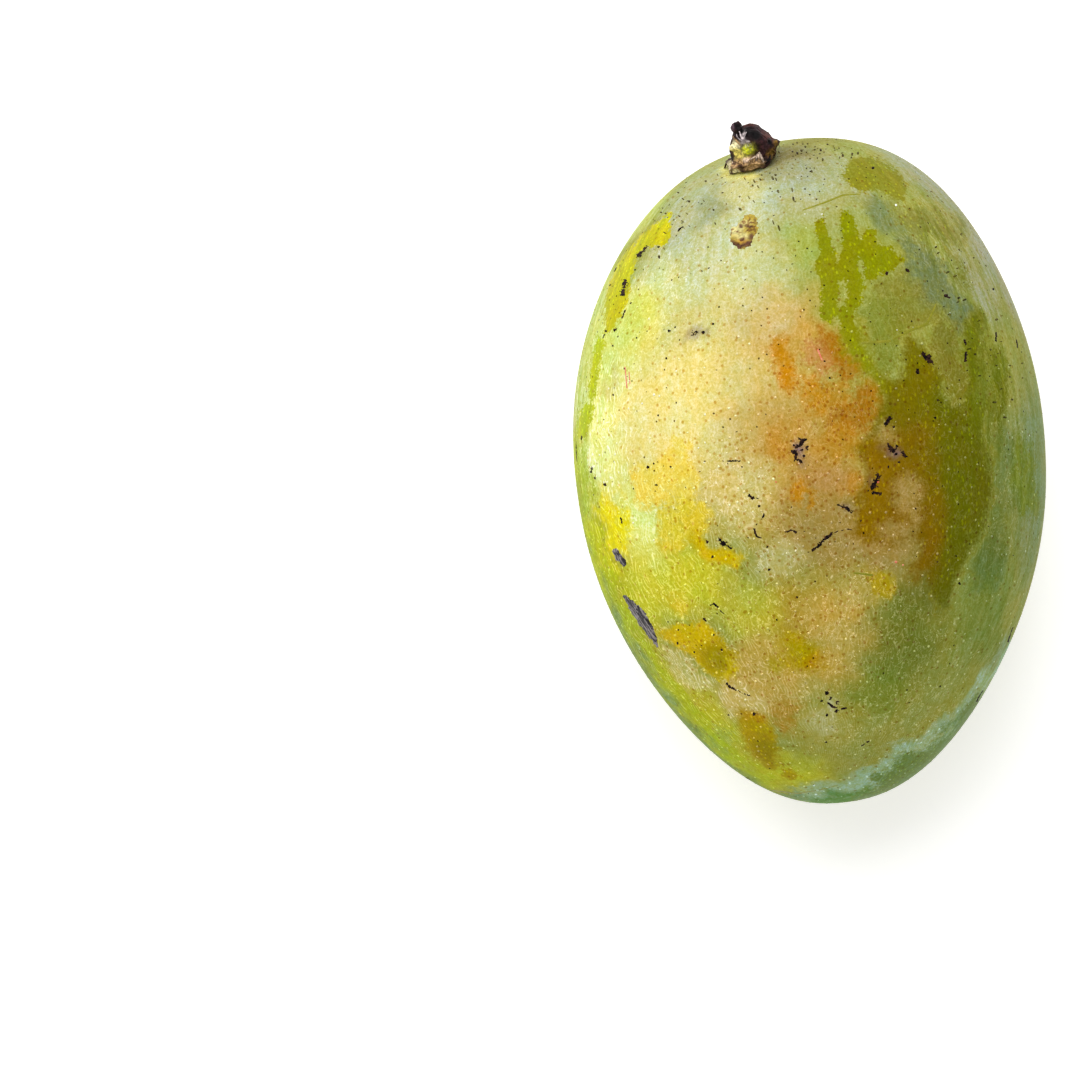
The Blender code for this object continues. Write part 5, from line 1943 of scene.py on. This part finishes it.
@dataclass
class StalkStub:
    """The broken stub of the stalk on the shoulder. Sizes in metres, as in its solid.

    A ring has its height, its shift across and its two half widths. A lobe row has its count, size and phase.
    A lump has its angle in degrees, height, reach and size. The bark's heights are those of its fibres, crumbs
    and grit. A back flake's root has a radius and a height, and its lift is what it has at its ends and what
    its middle adds.
    """

    skin: FruitSkin
    foot: tuple = (-0.007379, 0.059207, 0.060282)
    across: tuple = (0.96563, 0.25955, 0.01360)
    away: tuple = (-0.11624, 0.47808, -0.87059)
    axis: tuple = (-0.23246, 0.83909, 0.49182)
    rings: tuple = (
        (0.0000, 0.0000, 0.0045, 0.0044), (0.0010, 0.0000, 0.0045, 0.0044),
        (0.0017, 0.0003, 0.0052, 0.0049), (0.0024, 0.0010, 0.0049, 0.0044),
        (0.0032, 0.0019, 0.0042, 0.0036), (0.0040, 0.0026, 0.0044, 0.0035),
        (0.0052, 0.0028, 0.0045, 0.0037), (0.0066, 0.0026, 0.0040, 0.0036),
        (0.0080, 0.0021, 0.0032, 0.0030), (0.0090, 0.0017, 0.0023, 0.0022),
        (0.0095, 0.0015, 0.0010, 0.0010),
    )
    lobes: tuple = ((5, 0.045, 0.4), (9, 0.035, 1.9), (14, 0.020, 3.1))
    top_smoothness: float = 0.8
    hollow_top: float = 0.0003
    bark_heights: tuple = (0.00016, 0.00022, 0.00007)
    lumps: tuple = (
        (-75, 0.0074, 0.0014, 0.0007), (-5, 0.0044, 0.0018, 0.0006), (-115, 0.0034, 0.0013, 0.0006),
        (-150, 0.0066, 0.0012, 0.0005), (35, 0.0066, 0.0016, 0.0006), (100, 0.0050, 0.0018, 0.0008),
        (165, 0.0044, 0.0013, 0.0005), (-100, 0.0013, 0.0010, 0.0004), (-45, 0.0017, 0.0010, 0.0005),
        (140, 0.0015, 0.0012, 0.0005),
    )
    knob_radius: float = 0.0012
    knob_offset: tuple = (0.0004, -0.0006, 0.0103)
    sides: int = 120
    rings_between: int = 9
    back_flakes: int = 40
    flake_root: tuple = (0.0046, 0.0026)
    flake_drop: float = 0.0019
    flake_thickness: float = 0.00014
    flake_lift: tuple = (0.00010, 0.00030)
    seed: int = 4

    def placed(self, local: np.ndarray) -> np.ndarray:
        """Returns points of the stub's own frame where they stand on the fruit."""
        return np.atleast_2d(local) @ np.array((self.across, self.away, self.axis)) + np.array(self.foot)

    def swell(self, angles: np.ndarray, height: float, radius: float) -> np.ndarray:
        """Returns how far the lobes and lumps stand out at this height."""
        share = height / self.rings[-1][0]
        swell = np.zeros(len(angles))
        for count, size, phase in self.lobes:
            swell += radius * size * (1.0 - self.top_smoothness * share) * np.sin(count * angles + phase)
        for degrees, lump_height, reach, size in self.lumps:
            turn = (angles - math.radians(degrees) + math.pi) % (2 * math.pi) - math.pi
            swell += size * np.exp(-((turn * radius) ** 2 + (height - lump_height) ** 2) / reach ** 2)
        return swell * min(1.0, height / self.rings[2][0]) ** 2

    def body_mesh(self) -> tuple[np.ndarray, list]:
        """Returns the points and faces of the stub's body, roughened like broken bark."""
        table = np.array(self.rings)
        marks = np.linspace(0, len(table) - 1, (len(table) - 1) * self.rings_between + 1)
        fine = np.column_stack([np.interp(marks, np.arange(len(table)), column) for column in table.T])
        angles = np.linspace(0.0, 2 * math.pi, self.sides, endpoint=False)
        points = []
        for height, offset, half_across, half_through in fine:
            swell = self.swell(angles, height, half_across)
            for angle, out in zip(angles, swell):
                grain = self.roughness(angle, height)
                points.append((offset + (half_across + out + grain) * math.cos(angle),
                               (half_through + out + grain) * math.sin(angle), height + grain * 0.5))
        faces = []
        for ring in range(len(fine) - 1):
            low = ring * self.sides
            for side in range(self.sides):
                following = (side + 1) % self.sides
                upper = low + self.sides
                faces.append((low + side, low + following, upper + following, upper + side))
        bottom, top = len(points), len(points) + 1
        points += [(0.0, 0.0, 0.0), (fine[-1][1], 0.0, fine[-1][0] - self.hollow_top)]
        last = (len(fine) - 1) * self.sides
        for side in range(self.sides):
            following = (side + 1) % self.sides
            faces.append((bottom, following, side))
            faces.append((top, last + side, last + following))
        return self.placed(np.array(points)), faces

    def roughness(self, angle: float, height: float) -> float:
        """Returns how far the broken bark stands out here: fibres along it, and crumbs towards the top."""
        rise = min(1.0, max(0.0, height / 0.0015 - 1.0))
        x, y = math.cos(angle) * 0.0045, math.sin(angle) * 0.0045
        fibre = noise.noise(Vector((x / 0.0007, y / 0.0007, height / 0.0035)))
        crumb = noise.noise(Vector((x / 0.0011, y / 0.0011, height / 0.0009 + 7.0)))
        grit = noise.noise(Vector((x / 0.0004, y / 0.0004, height / 0.0004 + 3.0)))
        fibre_height, crumb_height, grit_height = self.bark_heights
        return rise * (fibre_height * fibre + crumb_height * crumb + grit_height * grit)

    def knob_mesh(self, first: int) -> tuple[np.ndarray, list]:
        """Returns the points and faces of the side knob, numbered from this first one."""
        directions, faces = FruitForm.ball(10)
        bumpy = []
        for direction in directions:
            radius = self.knob_radius * (1.0 + 0.22 * noise.noise(Vector(direction) * 1.7))
            bumpy.append(np.array(direction) * radius + np.array(self.knob_offset))
        return self.placed(np.array(bumpy)), [tuple(corner + first for corner in face) for face in faces]

    def build(self) -> list:
        """Makes the stub's body and its flakes."""
        points, faces = self.body_mesh()
        knob, knob_faces = self.knob_mesh(len(points))
        points, bark = np.vstack((points, knob)), StubFinish("stub_bark").build()
        body = add_mesh("stub_body", points, faces + knob_faces, bark)
        canvas = Canvas(body, self.skin.view)
        push = np.zeros(len(canvas.points))
        for at, reach, height in STUB_RELIEF:
            push += height * canvas.cover(at, reach)
        canvas.move(canvas.points + canvas.normals * push[:, None])
        self.nudge(body)
        canvas = Canvas(body, self.skin.view)
        canvas.wander(0.0007, 0.35)
        canvas.store("bark", canvas.airbrush(Bark.UMBER, STUB_DABS))
        flesh, cap = canvas.cover((748, 150), (1.8, 1.6)), canvas.cover((748, 131), (3.5, 2.2))
        canvas.store("gloss", np.maximum(flesh, 0.12 * cap))
        self.canvas = canvas
        return [body, self.make_flakes()]

    def nudge(self, body: bpy.types.Object) -> None:
        """Pushes the body's outline to where the picture has it."""
        canvas = Canvas(body, self.skin.view)
        push, weight = np.zeros((len(canvas.points), 2)), np.zeros(len(canvas.points))
        for nudge in NUDGES:
            near = np.exp(-np.sum((canvas.pixels - np.array(nudge.at)) ** 2, axis=1) / nudge.reach ** 2)
            push += near[:, None] * np.array(nudge.step)
            weight += near
        push = push / np.maximum(weight, 1.0)[:, None] * Canvas.pixel_size / 1000
        canvas.move(canvas.points + push[:, :1] * self.skin.view.right - push[:, 1:] * self.skin.view.up)

    def make_flakes(self) -> bpy.types.Object:
        """Makes the flakes of the collar as one piece."""
        points, faces, colours = [], [], []
        for flake in FRONT_FLAKES:
            path = [self.front_point(*pixel) for pixel in flake.path]
            half_width = flake.half_width * Canvas.pixel_size / 1000
            self.add_flake(path, half_width, flake.tint, points, faces, colours)
        rng = np.random.default_rng(self.seed)
        tints = (Bark.TAN, Bark.RUSSET, Bark.PALE_TAN, Bark.OCHRE, Bark.RUSSET)
        for number in range(self.back_flakes):
            angle = math.radians(-5 + 150 * (number + rng.uniform(-0.3, 0.3)) / self.back_flakes)
            path = []
            for share in (0.0, 0.5, 1.0):
                radius = self.flake_root[0] + share * rng.uniform(0.0006, 0.0013)
                height = self.flake_root[1] - share * self.flake_drop
                turn = angle + share * rng.uniform(-0.12, 0.12)
                local = (0.0008 * (1 - share) + radius * math.cos(turn), radius * math.sin(turn), height)
                path.append(self.onto_surface(Vector(self.placed(local)[0]), share))
            width = rng.uniform(0.00018, 0.00042)
            self.add_flake(path, width, tints[number % len(tints)], points, faces, colours)
        obj = add_mesh("stub_flakes", np.array(points), faces, StubFinish("stub_flake_bark").build())
        keep_layer(obj, "bark", np.array(colours))
        keep_layer(obj, "gloss", np.zeros(len(points)))
        return obj

    def front_point(self, x: float, y: float) -> tuple[Vector, Vector]:
        """Returns the point and normal of the stub or the skin, whichever the camera sees at this pixel."""
        start, direction = self.skin.view.ray(x, y)
        hits = [tree.ray_cast(start, direction) for tree in (self.canvas.tree, self.skin.canvas.tree)]
        seen = [hit for hit in hits if hit[0] is not None]
        if not seen:
            return self.onto_surface(start + direction * (Vector(self.foot) - start).dot(direction), 0.0)
        return min(seen, key=lambda hit: hit[3])[:2]

    def onto_surface(self, point: Vector, share: float) -> tuple[Vector, Vector]:
        """Returns the nearest point and normal of the stub, or of the skin for the outer end."""
        tree = self.skin.canvas.tree if share > 0.75 else self.canvas.tree
        return tree.find_nearest(point)[:2]

    def add_flake(self, path: list, half_width: float, tint: Bark, points: list, faces: list,
                  colours: list) -> None:
        """Adds one closed, tapered, slightly lifted flake.

        Args:
            path: the point and normal of the surface at its root, middle and tip.
            half_width: half its greatest width, in metres.
            tint: its colour.
            points: the corner points so far, which it adds to.
            faces: the faces so far, which it adds to.
            colours: the colours so far, which it adds to.
        """
        (root, root_out), (middle, middle_out), (tip, tip_out) = path
        first, steps = len(points), 7
        base = np.array(as_linear(tint.value))
        for step in range(steps):
            share = step / (steps - 1)
            place = root * (1 - share) ** 2 + middle * 2 * share * (1 - share) + tip * share ** 2
            out = (root_out * (1 - share) + middle_out * share * (1 - share) + tip_out * share).normalized()
            heading = ((middle - root) * (1 - share) + (tip - middle) * share).normalized()
            side = heading.cross(out).normalized()
            wide = half_width * (0.55 + 0.9 * share * (1 - share) * 2)
            wide *= 1.0 - 0.8 * max(0.0, share - 0.6) / 0.4
            wide *= 1.0 + 0.35 * noise.noise(place * 2500)
            lift = self.flake_lift[0] + self.flake_lift[1] * math.sin(share * math.pi)
            crown = self.flake_thickness * 0.9
            place = place + out * lift
            corners = (-side * wide, out * crown, side * wide, -out * self.flake_thickness)
            for number, corner in enumerate(corners):
                points.append(tuple(place + corner))
                light = 0.8 + 0.45 * noise.noise(place * 3000 + Vector((number, 0.0, 0.0)))
                # The flake's sides and underside are painted a quarter darker than its top: painted shade
                dim = 1.0 if number == 1 else 0.75
                colours.append(tuple(np.append(base[:3] * light * dim, 1.0)))
        for step in range(steps - 1):
            low = first + step * 4
            for side in range(4):
                following = (side + 1) % 4
                faces.append((low + side, low + following, low + 4 + following, low + 4 + side))
        faces.append(tuple(first + side for side in (3, 2, 1, 0)))
        last = first + (steps - 1) * 4
        faces.append(tuple(last + side for side in range(4)))
def main() -> None:
    """Builds the scene piece by piece."""
    logging.basicConfig(level=logging.INFO, format="%(name)s: %(message)s")
    view = CameraView()
    view.build()
    log.info("camera set %.2f m away", view.distance)
    Studio().build()
    skin = FruitSkin(FruitForm(), view)
    fruit = skin.build()
    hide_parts("fruit")
    pieces = [fruit]
    dark = LenticelFinish("lenticel_dark", (0.05, 0.04, 0.06), (0.28, 0.22, 0.12), 0.6)
    brown = LenticelFinish("lenticel_brown", (0.16, 0.10, 0.05), (0.45, 0.38, 0.20), 0.6)
    pale = LenticelFinish("lenticel_pale", (1.35, 1.35, 1.6), (2.2, 2.25, 3.5), 0.4, 0.16)
    for name, layer, finish, *sizes in (
        ("dark_lenticels", "freckles", dark, 0.0011, 220000.0, 0.00020, 0.22, 3),
        ("stem_flecks", "flecks", brown, 0.0009, 300000.0, 0.00021, 0.22, 5, 3.0),
        ("pale_lenticels", "specks", pale, 0.0013, 190000.0, 0.00026, 0.25, 8),
    ):
        pieces.append(Lenticels(skin, name, layer, finish, *sizes).build())
    pieces += Blemishes(skin).build()
    stub = StalkStub(skin).build()
    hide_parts("stem_stub")
    for piece in pieces + stub:
        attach(piece, BODY)
        log.info("%s: %d faces", piece.name, len(piece.data.polygons))


if __name__ == "__main__":
    main()
